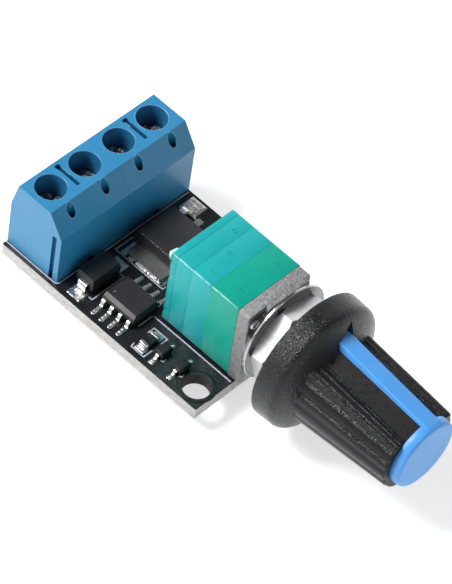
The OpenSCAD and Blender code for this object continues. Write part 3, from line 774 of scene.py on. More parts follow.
def timer_package():
    """Eight-lead package with a bevel along the edge of its first four leads and a dimple."""
    bm = bmesh.new()
    low, high = box_mm("timer_body")
    top = high.z
    levels = []
    for z, left, inset in ((low.z, 0.18, 0.18), (low.z + 0.66, 0.0, 0.0), (low.z + 0.74, 0.0, 0.0),
                           (top - 0.40, 0.10, 0.10), (top - 0.36, 0.13, 0.11), (top - 0.04, 0.46, 0.18),
                           (top, 0.52, 0.22)):
        levels.append((z, low.x + left, high.x - inset, low.y + inset, high.y - inset))
    stack(bm, levels, 0.06)
    dimple = bmesh.new()
    post(dimple, [(0.18, top - 0.09), (0.3, top - 0.02), (0.34, top + 0.3)], 28, low.x + 0.95, high.y - 0.7)
    bm = combine(bm, dimple)
    # Faces of the bevel get the paler epoxy as a painted highlight.
    for f in bm.faces:
        middle = f.calc_center_median()
        if middle.x < low.x + 0.5 and top - 0.38 < middle.z < top - 0.03 and f.normal.x < -0.4:
            f.material_index = 1
    make("timer_moulding", bm, [EPOXY, EPOXY_HIGHLIGHT], stands_for=["timer_body"],
         smooth=20)


def gull_leads(node, rows, reach, knee, toe, rise, thick, width, x_middle, sides=(-1, 1)):
    """Bent leads: out of the package, down, and flat on their pads."""
    bm = bmesh.new()
    foot = PAD_TOP + thick / 2 + 0.01
    for y in rows:
        for side in sides:
            path = [(x_middle + side * reach, PAD_TOP + rise), (x_middle + side * knee, PAD_TOP + rise),
                    (x_middle + side * (knee + 0.22), foot), (x_middle + side * toe, foot)]
            bent_strip(bm, path, thick, y, width, thick * 1.3)
    bevel_sharp(bm, thick * 0.12, 1, 50)
    make(node + "_bent", bm, TIN, stands_for=[node], smooth=40)


def flyback_leads():
    bm = bmesh.new()
    for side in (-1, 1):
        path = [(FLYBACK.x + side * 1.75, PAD_TOP + 1.12), (FLYBACK.x + side * 2.48, PAD_TOP + 1.12),
                (FLYBACK.x + side * 2.5, PAD_TOP + 0.1), (FLYBACK.x + side * 1.4, PAD_TOP + 0.1)]
        bent_strip(bm, path, 0.2, FLYBACK.y, 1.18, 0.24)
    bevel_sharp(bm, 0.03, 1, 50)
    make("flyback_diode_straps", bm, DULL_TIN, stands_for=["flyback_diode_leads"],
         smooth=40)


def transistor_tab():
    """The transistor's metal tab with cut corners, and the stub of its middle lead."""
    bm = bmesh.new()
    low, high = TAB_LOW, TAB_HIGH
    cut = 0.22
    outline = [(low.x + cut, low.y), (TAB_END, low.y), (TAB_END, high.y), (low.x + cut, high.y),
               (low.x, high.y - cut), (low.x, low.y + cut)]
    prism(bm, outline, PAD_TOP + 0.01, PAD_TOP + 0.5, "z")
    bevel_sharp(bm, 0.06, 2, 30)
    stub = (TAB_END - 0.1, FET.y - 0.4, PAD_TOP + 0.88), (high.x - 0.35, FET.y + 0.4, PAD_TOP + 1.3)
    box(bm, *stub)
    make("transistor_tab", bm, TAB_METAL, stands_for=["mosfet_tab"], smooth=40)


def transistor_edge_highlights():
    """Painted highlights: small bright strips in a broken line along the moulding's upper edge."""
    rng = random.Random(5)
    bm = bmesh.new()
    low, high = box_mm("mosfet_body")
    x, z = low.x + 0.33, high.z - 0.02
    y = high.y - 0.9
    while y > low.y + 0.6:
        length = rng.uniform(0.08, 0.5)
        rise = rng.uniform(0.01, 0.03)
        x_here = x + rng.uniform(-0.015, 0.02)
        ribbon(bm, [(x_here, y), (x_here + rng.uniform(-0.02, 0.02), y - length)],
               rng.uniform(0.03, 0.07), z - 0.02, z + rise)
        y -= length + rng.uniform(0.06, 0.4)
    make("transistor_edge_highlights", bm, TIN)


def chip(name, material, slot):
    """A chip's ceramic body with its two wrapped end caps."""
    bm = bmesh.new()
    low, high = box_mm(name + "_body")
    stack(bm, rounded_levels(low.x, high.x, low.y, high.y, low.z, high.z, 0.03), 0.05, "x")
    make(name + "_ceramic", bm, material, stands_for=[name + "_body"])
    bm = bmesh.new()
    low, high = box_mm(name + "_caps")
    for start, end in ((low.x, low.x + 0.36), (high.x - 0.36, high.x)):
        stack(bm, rounded_levels(start, end, low.y, high.y, low.z, high.z, 0.06), 0.09, "x", 4)
    make(name + "_ends", bm, DULL_TIN, stands_for=[name + "_caps"])


def surface_parts():
    timer_package()
    gull_leads("timer_leads", LEAD_ROWS, 1.7, 2.2, 3.02, 0.79, 0.18, 0.42, TIMER.x)
    plain_package("mosfet_body", EPOXY, 0.3, 0.12)
    transistor_tab()
    transistor_edge_highlights()
    gull_leads("mosfet_leads", [FET.y - 2.28, FET.y + 2.28], 2.2, 4.2, 5.6, 1.1, 0.4, 0.8, FET.x, (1,))
    plain_package("flyback_diode_body", EPOXY_DIODE, 0.15, 0.1, 0.55)
    flyback_leads()
    for k, middle in enumerate(STEERING, 1):
        plain_package(f"steering_diode_{k}_body", EPOXY_DIODE, 0.08, 0.05)
        gull_leads(f"steering_diode_{k}_leads", [middle.y], 0.7, 0.97, 1.36, 0.46, 0.13, 0.36, middle.x)
    chip("resistor", GLASS, "chip_glass_black")
    chip("gate_resistor", GLASS, "chip_glass_black")
    chip("timing_capacitor", CERAMIC, "chip_ceramic_tan")
    chip("bypass_capacitor", CERAMIC, "chip_ceramic_tan")


white_print()
traces()
pads()
pad_holes()
underside_joints()
surface_parts()


# ---- Terminal block ----

WELL_RADIUS = 1.86
RELIEF_Y = BLOCK_LOW.y + 1.4             # small round holes where the top meets the front slope
SLOPE_FOOT, SLOPE_RUN = BOARD_TOP + 6.96, 1.97


def dovetail(bm, x, y, depth, face, low, high):
    """A wedge-shaped key that stands along Z and widens away from x."""
    end = x + depth
    outline = [(x, y - face / 2), (end, y - face * 0.8), (end, y + face * 0.8), (x, y + face / 2)]
    prism(bm, outline, low, high, "z")


def housing(name, node, first):
    """One two-pole housing, hollowed for its screws, clamps and wires."""
    left = BLOCK_LEFT + PITCH * first
    slit, right = left + PITCH, left + 2 * PITCH
    front, back, top = BLOCK_LOW.y, BLOCK_HIGH.y, BLOCK_HIGH.z
    poles = POLES[first:first + 2]

    def cut_box(x, half, start, end, low, high):
        box(tool, (x - half, start, BOARD_TOP + low), (x + half, end, BOARD_TOP + high))

    bm = bmesh.new()
    profile = [(front, BOARD_TOP), (back, BOARD_TOP), (back, BOARD_TOP + 6.5), (front + 6.87, top),
               (front + SLOPE_RUN, top), (front, SLOPE_FOOT)]
    prism(bm, profile, left + 0.01, right - 0.01, "x")
    bevel_sharp(bm, 0.09, 3, 20)
    rail = bmesh.new()
    dovetail(rail, right - 0.02, front + 1, 0.48, 0.5, BOARD_TOP + 0.3, BOARD_TOP + 6.5)
    bm = combine(bm, rail, "UNION")
    tool = bmesh.new()
    dovetail(tool, left - 0.02, front + 1, 0.54, 0.58, BOARD_TOP - 1, BOARD_TOP + 6.8)
    cut_box(slit, 0.23, front + 2.9, back - 1.25, 6.2, 11)
    cut_box(slit, 0.4, front - 1, front + 0.6, -1, 0.5)
    bm = combine(bm, tool)
    tool = bmesh.new()
    cut_box(slit, 0.33, back - 1.75, back - 1.28, 6.4, 11)
    well = [(1.78, BOARD_TOP + 5.8), (1.78, top - 0.09), (1.80, top - 0.04),
            (WELL_RADIUS, top + 0.005), (WELL_RADIUS, top + 2)]
    for pole in poles:
        post(tool, well, 72, pole.x, pole.y)
        post(tool, [(0.55, BOARD_TOP + 6.5), (0.55, top + 2)], 32, pole.x, RELIEF_Y)
        cut_box(pole.x, 1.93, front + 2.72, front + 6.48, 0.6, 5.3)
        cut_box(pole.x, 1.4, back - 1.4, back + 1, 0.95, 3.15)
    bm = combine(bm, tool)
    tool = bmesh.new()
    for pole in poles:
        post(tool, [(1.3, BOARD_TOP + 5.0), (1.3, BOARD_TOP + 6.1)], 32, pole.x, pole.y)
        cut_box(pole.x, 1.12, front + 1.88, front + 3, 0.6, 3.1)
        cut_box(pole.x, 0.52, front + 1.88, front + 2.42, -1, 1)
    bm = combine(bm, tool)
    # Faces inside the wells, the small holes and the slit get the blue painted darker as shade.
    for f in bm.faces:
        middle = f.calc_center_median()
        in_well = min((middle.xy - pole.xy).length for pole in poles) < 2.0
        in_relief = min((middle.xy - Vector((pole.x, RELIEF_Y))).length for pole in poles) < 0.54
        in_slit = abs(middle.x - slit) < 0.35 and front + 2.8 < middle.y < back - 1.2
        if (in_well or in_relief or in_slit) and BOARD_TOP + 0.5 < middle.z < top - 0.12:
            f.material_index = 1
    make(name, bm, [BLUE, BLUE_SHADE], stands_for=[node], smooth=24)


def rim(bm, x, y, radius, level, rng, thick, height, steps):
    """An uneven raised burr round a hole's mouth; level gives the surface at a point."""
    rings = []
    phase = [rng.uniform(0, TAU) for _ in range(4)]
    for k in range(steps):
        a = TAU * k / steps
        swell = 0.5 + 0.28 * math.sin(2 * a + phase[0]) + 0.22 * math.sin(5 * a + phase[1])
        swell += 0.16 * math.sin(11 * a + phase[2]) + rng.uniform(-0.1, 0.1)
        swell = max(0.02, swell)
        inner, outer = radius - 0.02, radius + 0.012 + thick * swell
        rise = 0.004 + height * swell
        points = []
        for r, up in ((inner, -0.02), (inner, rise), ((inner + outer) / 2, rise * 1.15), (outer, -0.02)):
            px, py = x + r * math.cos(a), y + r * math.sin(a)
            points.append((px, py, level(py) + up))
        rings.append(points)
    rings.append(rings[0])
    grid_surface(bm, rings)


def burrs():
    """Pale moulding burrs round the wells, the small holes and the slits."""
    rng = random.Random(3)
    bm = bmesh.new()
    front, top = BLOCK_LOW.y, BLOCK_HIGH.z

    def slope(y):
        return min(top, SLOPE_FOOT + (top - SLOPE_FOOT) / SLOPE_RUN * (y - front))

    for pole, strength in zip(POLES, (0.35, 0.25, 0.4, 0.9)):
        rim(bm, pole.x, pole.y, WELL_RADIUS, lambda y: top, rng, 0.05 * strength, 0.03 * strength, 72)
        rim(bm, pole.x, RELIEF_Y, 0.56, slope, rng, 0.04, 0.02, 48)
    slits = (BLOCK_LEFT + PITCH + 0.21, front + 4.4, 1.3), (POLES[2].x + PITCH / 2 - 0.21, front + 5.2, 0.8)
    for x, y, length in slits:
        ribbon(bm, [(x, y), (x, y + length)], 0.04, top - 0.01, top + 0.03)
    make("burrs", bm, BURR, smooth=60)


def terminal_screws():
    """Slotted screws with a chamfered head and a threaded shank."""
    for k, turn in enumerate((20, 72, -14, 48), 1):
        low, high = box_mm(f"terminal_screw_{k}")
        x, y = (low.x + high.x) / 2, (low.y + high.y) / 2
        radius = (high.x - low.x) / 2
        neck = high.z - 1.3
        bm = bmesh.new()
        profile = [(0.9, low.z), (1.02, low.z + 0.1)]
        z = low.z + 0.15
        while z < neck - 0.3:
            profile += [(1.18, z), (1.0, z + 0.2)]
            z += 0.4
        profile += [(1.05, neck), (radius, neck), (radius, high.z - 0.22), (radius - 0.1, high.z - 0.07),
                    (radius - 0.4, high.z)]
        post(bm, profile, 48, x, y)
        slot = bmesh.new()
        cut = box(slot, (-3, -0.26, high.z - 0.65), (3, 0.26, high.z + 1))
        turned = Matrix.Rotation(math.radians(turn), 3, "Z")
        bmesh.ops.rotate(slot, cent=(0, 0, 0), matrix=turned, verts=cut)
        bmesh.ops.translate(slot, vec=(x, y, 0), verts=cut)
        bm = combine(bm, slot)
        make(f"slotted_screw_{k}", bm, SCREW_SHADE_GLINTS, body=f"screw_{k}", stands_for=[f"terminal_screw_{k}"],
             smooth=28)


housing("housing_left", "terminal_housing_left", 0)
housing("housing_right", "terminal_housing_right", 2)
burrs()
terminal_screws()


# ---- Potentiometer ----

def moulded_layer(name, node, material):
    """One plate of the potentiometer's stack, with rounded edges and corners."""
    low, high = box_mm(node)
    bm = bmesh.new()
    levels = rounded_levels(low.y + 0.003, high.y - 0.003, low.x, high.x, low.z, high.z, 0.025)
    stack(bm, levels, 0.32, "y", 5)
    make(name, bm, material, stands_for=[node], smooth=50)


def back_cover():
    """The rearmost plate, with an uneven sheared edge down its left side."""
    rng = random.Random(19)
    low, high = box_mm("pot_back_cover")
    bm = bmesh.new()
    stack(bm, rounded_levels(low.y + 0.01, high.y - 0.01, low.x, high.x, low.z, high.z, 0.04), 0.3, "y", 5)
    long_edges = [e for e in bm.edges if abs(e.verts[0].co.z - e.verts[1].co.z) > 5]
    bmesh.ops.subdivide_edges(bm, edges=long_edges, cuts=26, use_grid_fill=True)
    for v in bm.verts:
        at_left = v.co.x < low.x + 0.15 and v.co.y > high.y - 0.35
        if at_left and low.z + 0.4 < v.co.z < high.z - 0.2:
            v.co.x += rng.uniform(0.0, 0.16)
            v.co.y -= rng.uniform(0.0, 0.14)
    make("back_cover", bm, TEAL, stands_for=["pot_back_cover"], smooth=40)


def cover_flash():
    """A torn curl of moulding flash on the back cover's upper left corner."""
    low, high = box_mm("pot_back_cover")
    rng = random.Random(23)
    bm = bmesh.new()
    rings = []
    for k in range(15):
        t = k / 14
        a = math.radians(200 - 150 * t)
        x = low.x + 0.62 + 0.75 * math.cos(a)
        z = high.z - 0.72 + 0.68 * math.sin(a)
        thick = 0.08 + 0.13 * math.sin(math.pi * t) + rng.uniform(0, 0.05)
        reach = 0.10 + 0.26 * math.sin(math.pi * t) + rng.uniform(0, 0.08)
        out = Vector((math.cos(a), math.sin(a))) * thick
        y = high.y - 0.12
        far_x, far_z = x + out.x, z + out.y
        rings.append([(x, y, z), (x, y + reach, z), (far_x, y + reach * 0.9, far_z), (far_x, y, far_z)])
    solid(bm, rings)
    for v in bm.verts:
        v.co.z = min(v.co.z, high.z + 0.03)
        v.co.x = max(v.co.x, low.x - 0.06)
    make("cover_flash", bm, FLASH_AND_HIGHLIGHT, smooth=60)


def ejector_marks():
    """Small raised rings left by the mould's ejector pins."""
    rng = random.Random(29)
    top = POT_HIGH.z
    teal, green = bmesh.new(), bmesh.new()
    for bm, places in ((teal, ((-2.54, 6.98), (-0.01, 5.02), (2.54, 6.78), (-3.3, 4.3))),
                       (green, ((2.81, 0.51), (-2.70, 0.60)))):
        for x, y in places:
            post(bm, [(0.17, top - 0.01), (0.19, top + 0.05), (0.28, top + 0.055), (0.33, top - 0.01),
                      (0.17, top - 0.01)], 28, x, y)
            for k in range(4):
                dome(bm, x + rng.uniform(-0.1, 0.1), y + rng.uniform(-0.1, 0.1), top - 0.01,
                     rng.uniform(0.03, 0.08), rng.uniform(0.02, 0.05), 8)
    make("ejector_marks_teal", teal, TEAL, smooth=50)
    make("ejector_marks_green", green, GREEN, smooth=50)


def edge_highlight_flash():
    """A fine pale line along the upper left edge of the moulded plates: a painted highlight, partly
    moulding flash.
    """
    rng = random.Random(31)
    bm = bmesh.new()
    x, z = POT_LOW.x + 0.09, POT_HIGH.z - 0.06
    y = box_mm("pot_back_cover")[1].y - 0.5
    front = -0.75
    while y > front:
        length = min(rng.uniform(0.4, 1.8), y - front)
        ribbon(bm, [(x + rng.uniform(-0.01, 0.01), y), (x + rng.uniform(-0.01, 0.01), y - length)],
               rng.uniform(0.02, 0.05), z - 0.03, z + rng.uniform(0.03, 0.055))
        y -= length + rng.uniform(0.02, 0.35)
    make("edge_highlight_flash", bm, FLASH_AND_HIGHLIGHT, smooth=50)


def front_plate():
    """Die-cast plate with its lip, recess, rivets, seat and threaded bushing."""
    low, _ = box_mm("pot_front_plate")
    back, face = -1.0, -2.6
    left, right, top = POT_LOW.x, POT_HIGH.x, POT_HIGH.z
    bm = bmesh.new()
    stack(bm, rounded_levels(face, back, left, right, low.z, top, 0.09), 0.5, "y", 4)
    lip = bmesh.new()
    levels = rounded_levels(face - 0.5, face + 0.2, left + 2.45, right - 0.6, top - 3, top - 0.02, 0.10)
    stack(lip, levels, 0.55, "y", 4)
    bm = combine(bm, lip, "UNION")
    seat = bmesh.new()
    lathe(seat, [(4.7, 2.4), (4.7, 3.43), (4.63, 3.5)], 96)
    bm = combine(bm, seat, "UNION")
    hollow = bmesh.new()
    stack(hollow, [(face - 1, left + 0.28, left + 2.3, AXIS_Z + 1.9, top - 0.42),
                   (face + 0.75, left + 0.42, left + 2.2, AXIS_Z + 2.1, top - 0.62)], 0.3, "y", 4)
    for x in (left + 0.9, 0.4, right - 1.1):
        box(hollow, (x, face - 1, low.z - 1), (x + 1.5, face + 0.35, low.z + 0.45))
    lathe(hollow, [(3.06, -2), (3.06, 10)], 72)
    bm = combine(bm, hollow)
    rivets = bmesh.new()
    rivet = (-3.74, 3.75)
    profile = [(0.62, 1.9), (0.60, 2.62), (0.52, 2.78), (0.36, 2.84), (0.30, 2.76), (0.16, 2.72)]
    lathe(rivets, profile, 32, rivet)
    lathe(rivets, [(0.62, 2.2), (0.60, 2.8), (0.5, 2.92), (0.3, 2.96)], 32, (3.85, -3.9))
    bm = combine(bm, rivets, "UNION")
    make("front_plate", bm, ZINC, stands_for=["pot_front_plate"], smooth=36)
    # A bright plated ring round the rivet's head: a painted highlight on its outline.
    ring = bmesh.new()
    profile = [(0.36, 2.80), (0.42, 2.90), (0.52, 2.90), (0.60, 2.76), (0.58, 2.60), (0.36, 2.60),
               (0.36, 2.80)]
    lathe(ring, profile, 32, rivet)
    make("rivet_ring_highlight", ring, NUT, smooth=50)
    thread = bmesh.new()
    profile = [(3.1, 3.2), (3.3, 3.2)]
    d = 3.45
    while d < 7.7:
        profile += [(3.22, d), (3.49, d + 0.3)]
        d += 0.6
    profile += [(3.2, 8.1), (3.07, 8.2), (3.1, 3.2)]
    lathe(thread, profile, 72)
    make("bushing_thread", thread, ZINC, smooth=20)


def shaft():
    """The turned shaft with its groove and its split end."""
    low, high = box_mm("pot_shaft")
    front, back = -low.y, -high.y
    bm = bmesh.new()
    lathe(bm, [(1.9, back), (2.0, back + 0.1), (2.0, 0.9), (3.0, 0.9), (3.0, front - 7.4),
               (2.9, front - 7.3), (2.9, front - 7.05), (3.0, front - 6.95), (3.0, front - 0.4),
               (2.6, front)], 72)
    split = bmesh.new()
    cut = box(split, (-4, -front - 1, -0.4), (4, -front + 7, 0.4))
    bmesh.ops.translate(split, vec=(0, 0, AXIS_Z), verts=cut)
    bm = combine(bm, split)
    make("turned_shaft", bm, ALUMINIUM, body="control", stands_for=["pot_shaft"],
         smooth=30)


def washer():
    """Thin plated washer that hangs loose above the shaft's axis; its front face is painted darker as
    shade.
    """
    low, high = box_mm("lock_washer")
    radius = (high.x - low.x) / 2
    rise = (low.z + high.z) / 2 - AXIS_Z
    near, far = -high.y + 0.14, -low.y
    bore = 4.14
    bm = bmesh.new()
    lathe(bm, [(bore, near + 0.04), (bore + 0.04, near), (radius - 0.08, near), (radius, near + 0.08),
               (radius, far - 0.08), (radius - 0.08, far), (bore + 0.04, far), (bore, far - 0.04),
               (bore, near + 0.04)], 128, (0, rise))
    bm.normal_update()
    for f in bm.faces:
        if abs(f.normal.y) > 0.95 and f.calc_center_median().y < -(near + far) / 2:
            f.material_index = 1
    make("plated_washer", bm, [WASHER, WASHER_FACE_SHADE], stands_for=["lock_washer"],
         smooth=30)


def polar(radius, distances, steps, first=0.0):
    """Rings round the shaft's axis; radius gives the size at (degrees clockwise from up, distance)."""
    rings = []
    for d in distances:
        ring = []
        for k in range(steps):
            degrees = first + 360 * k / steps
            r = radius(degrees, d)
            a = math.radians(degrees)
            ring.append((r * math.sin(a), -d, AXIS_Z + r * math.cos(a)))
        rings.append(ring)
    return rings


def nut():
    """Hexagon nut, chamfered on both faces, with brushed flats."""
    low, high = box_mm("hex_nut")
    near, far = -high.y, -low.y
    across = 9.7
    corner = across / math.sqrt(3)
    first = 90 - 45.3

    def radius(degrees, d):
        flat = across / 2 / math.cos(math.radians((degrees - first) % 60 - 30))
        inset = max(0.0, 0.26 - min(d - near, far - d))
        return min(flat, corner - inset * 1.5)

    edge = [0, 0.04, 0.08, 0.12, 0.16, 0.2, 0.26]
    distances = [near + e for e in edge] + [far - e for e in reversed(edge)]
    bm = bmesh.new()
    rings = polar(radius, distances, 180, first)
    bore = polar(lambda degrees, d: 3.75 if d in (near, far) else 3.52,
                 (far, far - 0.25, near + 0.25, near), 180, first)
    grid_surface(bm, rings + bore + [rings[0]])
    make("brushed_nut", bm, NUT, stands_for=["hex_nut"], smooth=24)


def potentiometer():
    back_cover()
    cover_flash()
    moulded_layer("switch_case", "pot_switch_case", TEAL)
    moulded_layer("switch_base", "pot_switch_base", TEAL)
    moulded_layer("front_case", "pot_front_case", GREEN)
    ejector_marks()
    edge_highlight_flash()
    front_plate()
    shaft()
    washer()
    nut()


potentiometer()


# ---- Knob ----

POINTER = 11          # degrees clockwise from up
STRIP_HALF = 1.1
STRIP_START = 10.4
FLAT_TURN = 35        # degrees from the pointer to the middle of a flat
GRIP_BACK, GRIP_END = 11.0, 23.45
GRIP_BASE_R, GRIP_END_R = 5.9, 5.15
FLAT_BASE, FLAT_END = 4.6, 3.78
RIDGES = ((0.6, 0.16, 1.1), (5.2, 0.17, 1.2), (9.8, 0.16, 1.2), (14.4, 0.12, 1.2))


def from_pointer(degrees):
    """The angle counted from the pointer, from -180 to 180."""
    return (degrees - POINTER + 180) % 360 - 180


def along_grip(d):
    """0 at the back of the grip and 1 at its end."""
    return (d - GRIP_BACK) / (GRIP_END - GRIP_BACK)


def smooth_step(t):
    t = min(1.0, max(0.0, t))
    return t * t * (3 - 2 * t)


def grip_radius(degrees, d):
    """The finger grip: two flats beside the pointer, fine ridges, then broad flutes."""
    t = min(1.0, max(0.0, along_grip(d)))
    round_r = GRIP_BASE_R + (GRIP_END_R - GRIP_BASE_R) * t
    away = abs(from_pointer(degrees))
    apothem = FLAT_BASE + (FLAT_END - FLAT_BASE) * t
    flat = apothem / math.cos(math.radians(min(60, abs(away - FLAT_TURN))))
    edge = 37 + 12 * t
    shoulder = 55 + 4 * t
    if away < edge:
        turn = math.radians(FLAT_TURN)
        saddle = (apothem - STRIP_HALF * math.sin(turn)) / math.cos(turn)
        if away < FLAT_TURN:
            flat = min(flat, saddle / math.cos(math.radians(away)))
        return min(flat, round_r)
    flat_edge = apothem / math.cos(math.radians(edge - FLAT_TURN))
    r = flat_edge + (round_r - flat_edge) * smooth_step((away - edge) / (shoulder - edge + 4)) ** 0.8
    for offset, height, width in RIDGES:
        r += height * math.exp(-(((away - edge - offset * (shoulder - edge + 3) / 15) / width) ** 2))
    for middle, depth, width in ((64 + 3 * t, 0.16, 3.2), (81 + 2 * t, 0.22, 2.4), (95 + 2 * t, 0.10, 4.5),
                                 (118, 0.16, 5.0), (140, 0.14, 5.0), (162, 0.14, 5.0)):
        r -= depth * math.exp(-(((away - middle) / width) ** 2))
    return min(r, round_r)


def flange_radius(d):
    """The skirt's rim and its sloping front, which runs on inwards to the foot of the flats."""
    points = [(6.95, 7.8), (7.02, 7.93), (7.12, 8.02), (7.25, 8.05), (9.45, 7.95), (9.75, 7.86),
              (10.0, 7.69), (10.22, 7.44), (10.43, 7.1), (11.0, 5.95), (11.55, 4.75), (12.2, 3.4)]
    if d <= points[0][0]:
        return points[0][1]
    for (d0, r0), (d1, r1) in zip(points, points[1:]):
        if d <= d1:
            return r0 + (r1 - r0) * (d - d0) / (d1 - d0)
    return 0.0


def strip_top(d):
    """Height of the pointer strip above the axis."""
    return 5.75 - 1.39 * along_grip(d)


def knob_radius(degrees, d):
    """The knob's outline, with a notch in the flange where the pointer strip starts."""
    flange = flange_radius(d)
    if d < STRIP_START:
        return flange
    away = math.radians(from_pointer(degrees))
    across = flange * math.sin(away)
    notch = STRIP_START + 0.75 * (STRIP_HALF - across) / (2 * STRIP_HALF)
    if abs(away) < 0.4 and abs(across) < STRIP_HALF + 0.04 and d > notch:
        flange = min(flange, (strip_top(d) - 0.3) / math.cos(away))
    if d < GRIP_BACK - 0.6:
        return flange
    r = max(flange, grip_radius(degrees, d))
    if d > GRIP_END - 0.16:
        r -= (d - GRIP_END + 0.16) * 0.9
    return r


def knob_body():
    """Black knob: hollow skirt, textured ridges and two smooth flats beside the pointer."""
    steps = 720
    distances = [6.95, 6.98, 7.02, 7.07, 7.12, 7.18, 7.25, 7.6, 8.3, 9.0, 9.3, 9.45, 9.6, 9.75, 9.88,
                 10.0, 10.11, 10.22, 10.33, 10.39]
    distances += [10.43 + 0.045 * k for k in range(20)] + [11.35, 11.4, 11.5, 11.6, 11.75]
    distances += [12 + 0.55 * k for k in range(20)] + [22.9, 23.1, 23.29, 23.37, 23.45]
    bm = bmesh.new()
    socket = [(2.98, 19.8), (3.0, 19.7), (3.0, 9.4), (3.2, 9.15), (4.3, 9.15), (4.3, 6.95), (5.4, 6.95),
              (5.4, 9.55), (7.2, 9.55), (7.2, 6.98), (7.25, 6.95)]
    front = [(3.0, GRIP_END - 0.01), (3.0, GRIP_END - 0.5)]
    outer = polar(knob_radius, distances, steps)
    solid(bm, turned_rings(socket, steps) + outer + turned_rings(front, steps))
    bm.normal_update()
    for f in bm.faces:
        middle = f.calc_center_median()
        d = -middle.y
        degrees = math.degrees(math.atan2(middle.x, middle.z - AXIS_Z))
        away = abs(from_pointer(degrees))
        t = along_grip(d)
        on_flat = d > 11.45 and away < 36.5 + 12 * t
        on_side = d > 11.2 and away > 68 + 4 * t and not 78 + 3 * t < away < 84 + 3 * t
        behind = d < 6.97 or (middle.xz - Vector((0, AXIS_Z))).length < 3.1
        if on_flat or on_side or behind:
            f.material_index = 1
    make("knob_grip", bm, [KNOB_TEXTURED, KNOB_SMOOTH], body="control", stands_for=["knob_body"],
         smooth=28)


def knob_cap():
    """Blue cap: a domed end with rounded rim and the raised pointer strip along the grip."""
    bm = bmesh.new()
    rings = []
    turn = Matrix.Rotation(math.radians(POINTER), 3, "Y")
    places = [STRIP_START + 0.05 + (GRIP_END - STRIP_START) * k / 30 for k in range(31)]
    places += [GRIP_END + reach for reach in (0.3, 0.5, 0.65, 0.8, 0.9, 1.0)]
    half = STRIP_HALF
    for k, d in enumerate(places):
        t = along_grip(d)
        top = strip_top(d) - 0.8 * max(0.0, d - GRIP_END - 0.6) ** 2
        foot = (FLAT_BASE + (FLAT_END - FLAT_BASE) * t) * 0.86
        grain = 0.006 * math.sin(37 * k) * math.sin(11 * k)
        section = [(-half, foot)]
        section += [(-half + 0.16 - 0.16 * math.cos(a), top - 0.20 + 0.16 * math.sin(a))
                    for a in (0, math.pi / 6, math.pi / 3, math.pi / 2)]
        section += [(-half * 0.5, top - 0.015 + grain), (0, top + grain), (half * 0.5, top - 0.015 + grain)]
        section += [(half - 0.16 + 0.16 * math.sin(a), top - 0.20 + 0.16 * math.cos(a))
                    for a in (0, math.pi / 6, math.pi / 3, math.pi / 2)]
        section += [(half, foot)]
        rings.append([tuple(turn @ Vector((u, -d, v)) + Vector((0, 0, AXIS_Z))) for u, v in section])
    solid(bm, rings)
    crown = bmesh.new()
    lathe(crown, [(3.2, GRIP_END - 0.8), (3.35, GRIP_END - 0.78), (3.35, GRIP_END - 0.02),
                  (4.24, GRIP_END + 0.005), (4.28, GRIP_END + 0.08), (4.26, GRIP_END + 0.5),
                  (4.21, GRIP_END + 0.95), (4.15, GRIP_END + 1.07), (4.04, GRIP_END + 1.17),
                  (3.9, GRIP_END + 1.23), (3.7, GRIP_END + 1.27), (3.3, GRIP_END + 1.29),
                  (1.2, GRIP_END + 1.3)], 144)
    bm = combine(bm, crown, "UNION")
    # The end face gets the paler blue as a painted sheen.
    for f in bm.faces:
        if f.normal.y < -0.93:
            f.material_index = 1
    make("pointer_cap", bm, [CAP, CAP_FACE_SHEEN], body="control", stands_for=["knob_cap"],
         smooth=40)


knob_body()
knob_cap()


# ---- CAD nodes that keep their shape ----

def dress(material, *nodes):
    for name in nodes:
        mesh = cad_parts[name].data
        mesh.materials.clear()
        mesh.materials.append(material)


dress(BRASS, *[f"clamp_cage_{k}" for k in (1, 2, 3, 4)], "pot_wiper", "switch_contact")
dress(TIN, *[f"terminal_contact_{k}" for k in (1, 2, 3, 4)], "pot_terminals", "switch_terminals")
dress(ROTOR_BLACK, "pot_rotor")
dress(PHENOLIC, "resistive_element")
dress(NYLON, "switch_cam", "switch_lever")


# ---- Floor, light and camera ----

def floor():
    """White paper that glows a little, for the photograph's shadow-free background."""
    surface = Surface("floor_paper", (0.62, 0.62, 0.62), 0.7, specular=0.2)
    surface.paint((0.60, 0.60, 0.605), 0.6, 0.02, 2)
    set_inputs(surface.shader, Emission_Color=(1, 1, 1, 1), Emission_Strength=0.62)
    half, level = 1.5, CAD_BOX[0][2]
    corners = [(u * half, v * half, level) for u, v in ((-1, -1), (1, -1), (1, 1), (-1, 1))]
    mesh = bpy.data.meshes.new("floor")
    mesh.from_pydata(corners, [], [(0, 1, 2, 3)])
    mesh.materials.append(surface.material)
    plane = link_object("floor", mesh)


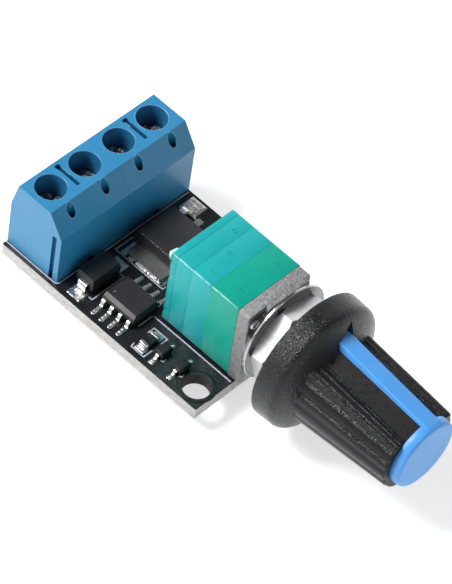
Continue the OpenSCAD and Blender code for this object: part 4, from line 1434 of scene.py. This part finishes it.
def softbox(name, place, size, power):
    """A rectangular lamp that faces the middle of the object."""
    data = bpy.data.lights.new(name, "AREA")
    data.shape = "RECTANGLE"
    data.size, data.size_y = size
    data.energy = power
    lamp = link_object(name, data)
    lamp.location = place
    lamp.rotation_euler = (Vector((0, 0.01, 0.005)) - lamp.location).to_track_quat("-Z", "Y").to_euler()


def camera():
    """The photograph's view: from the left and above, with a long lens."""
    azimuth, elevation, roll = (math.radians(a) for a in (-53.30, 50.94, 10.13))
    distance = 428.5
    target = Vector((3.14, 6.85, 1.90))
    back = Vector((math.sin(azimuth) * math.cos(elevation),
                   -math.cos(azimuth) * math.cos(elevation), math.sin(elevation)))
    right = Vector((0, 0, 1)).cross(back).normalized()
    up = back.cross(right)
    tilted_right = right * math.cos(roll) + up * math.sin(roll)
    tilted_up = up * math.cos(roll) - right * math.sin(roll)
    turn = Matrix((tilted_right, tilted_up, back)).transposed().to_4x4()
    data = bpy.data.cameras.new("camera")
    data.lens = 244.4
    data.sensor_width = 36
    data.clip_start = 0.01
    data.clip_end = 10
    view = link_object("camera", data)
    view.matrix_world = Matrix.Translation((target + back * distance) * MM) @ turn
    bpy.context.scene.camera = view


def light():
    """A studio with a pale horizon and a dark ceiling, a key box behind left and three weak boxes."""
    world = bpy.data.worlds.new("studio")
    world.use_nodes = True
    nodes, links = world.node_tree.nodes, world.node_tree.links
    height = nodes.new("ShaderNodeSeparateXYZ")
    links.new(nodes.new("ShaderNodeTexCoord").outputs["Generated"], height.inputs[0])
    spread = nodes.new("ShaderNodeMapRange")
    set_inputs(spread, From_Min=0.10, From_Max=0.65, To_Min=0.62, To_Max=0.11)
    links.new(height.outputs["Z"], spread.inputs["Value"])
    links.new(spread.outputs["Result"], nodes["Background"].inputs["Strength"])
    set_inputs(nodes["Background"], Color=(1, 1, 1, 1))
    bpy.context.scene.world = world
    bpy.context.scene.view_settings.view_transform = "Standard"
    softbox("key_box", (-0.20, 0.27, 0.40), (0.18, 0.18), 3.8)
    softbox("left_box", (-0.35, 0.18, 0.22), (0.22, 0.22), 0.13)
    softbox("front_box", (-0.02, -0.40, 0.28), (0.30, 0.20), 0.45)
    softbox("right_box", (0.41, 0.20, 0.21), (0.36, 0.26), 0.30)


floor()
camera()
light()
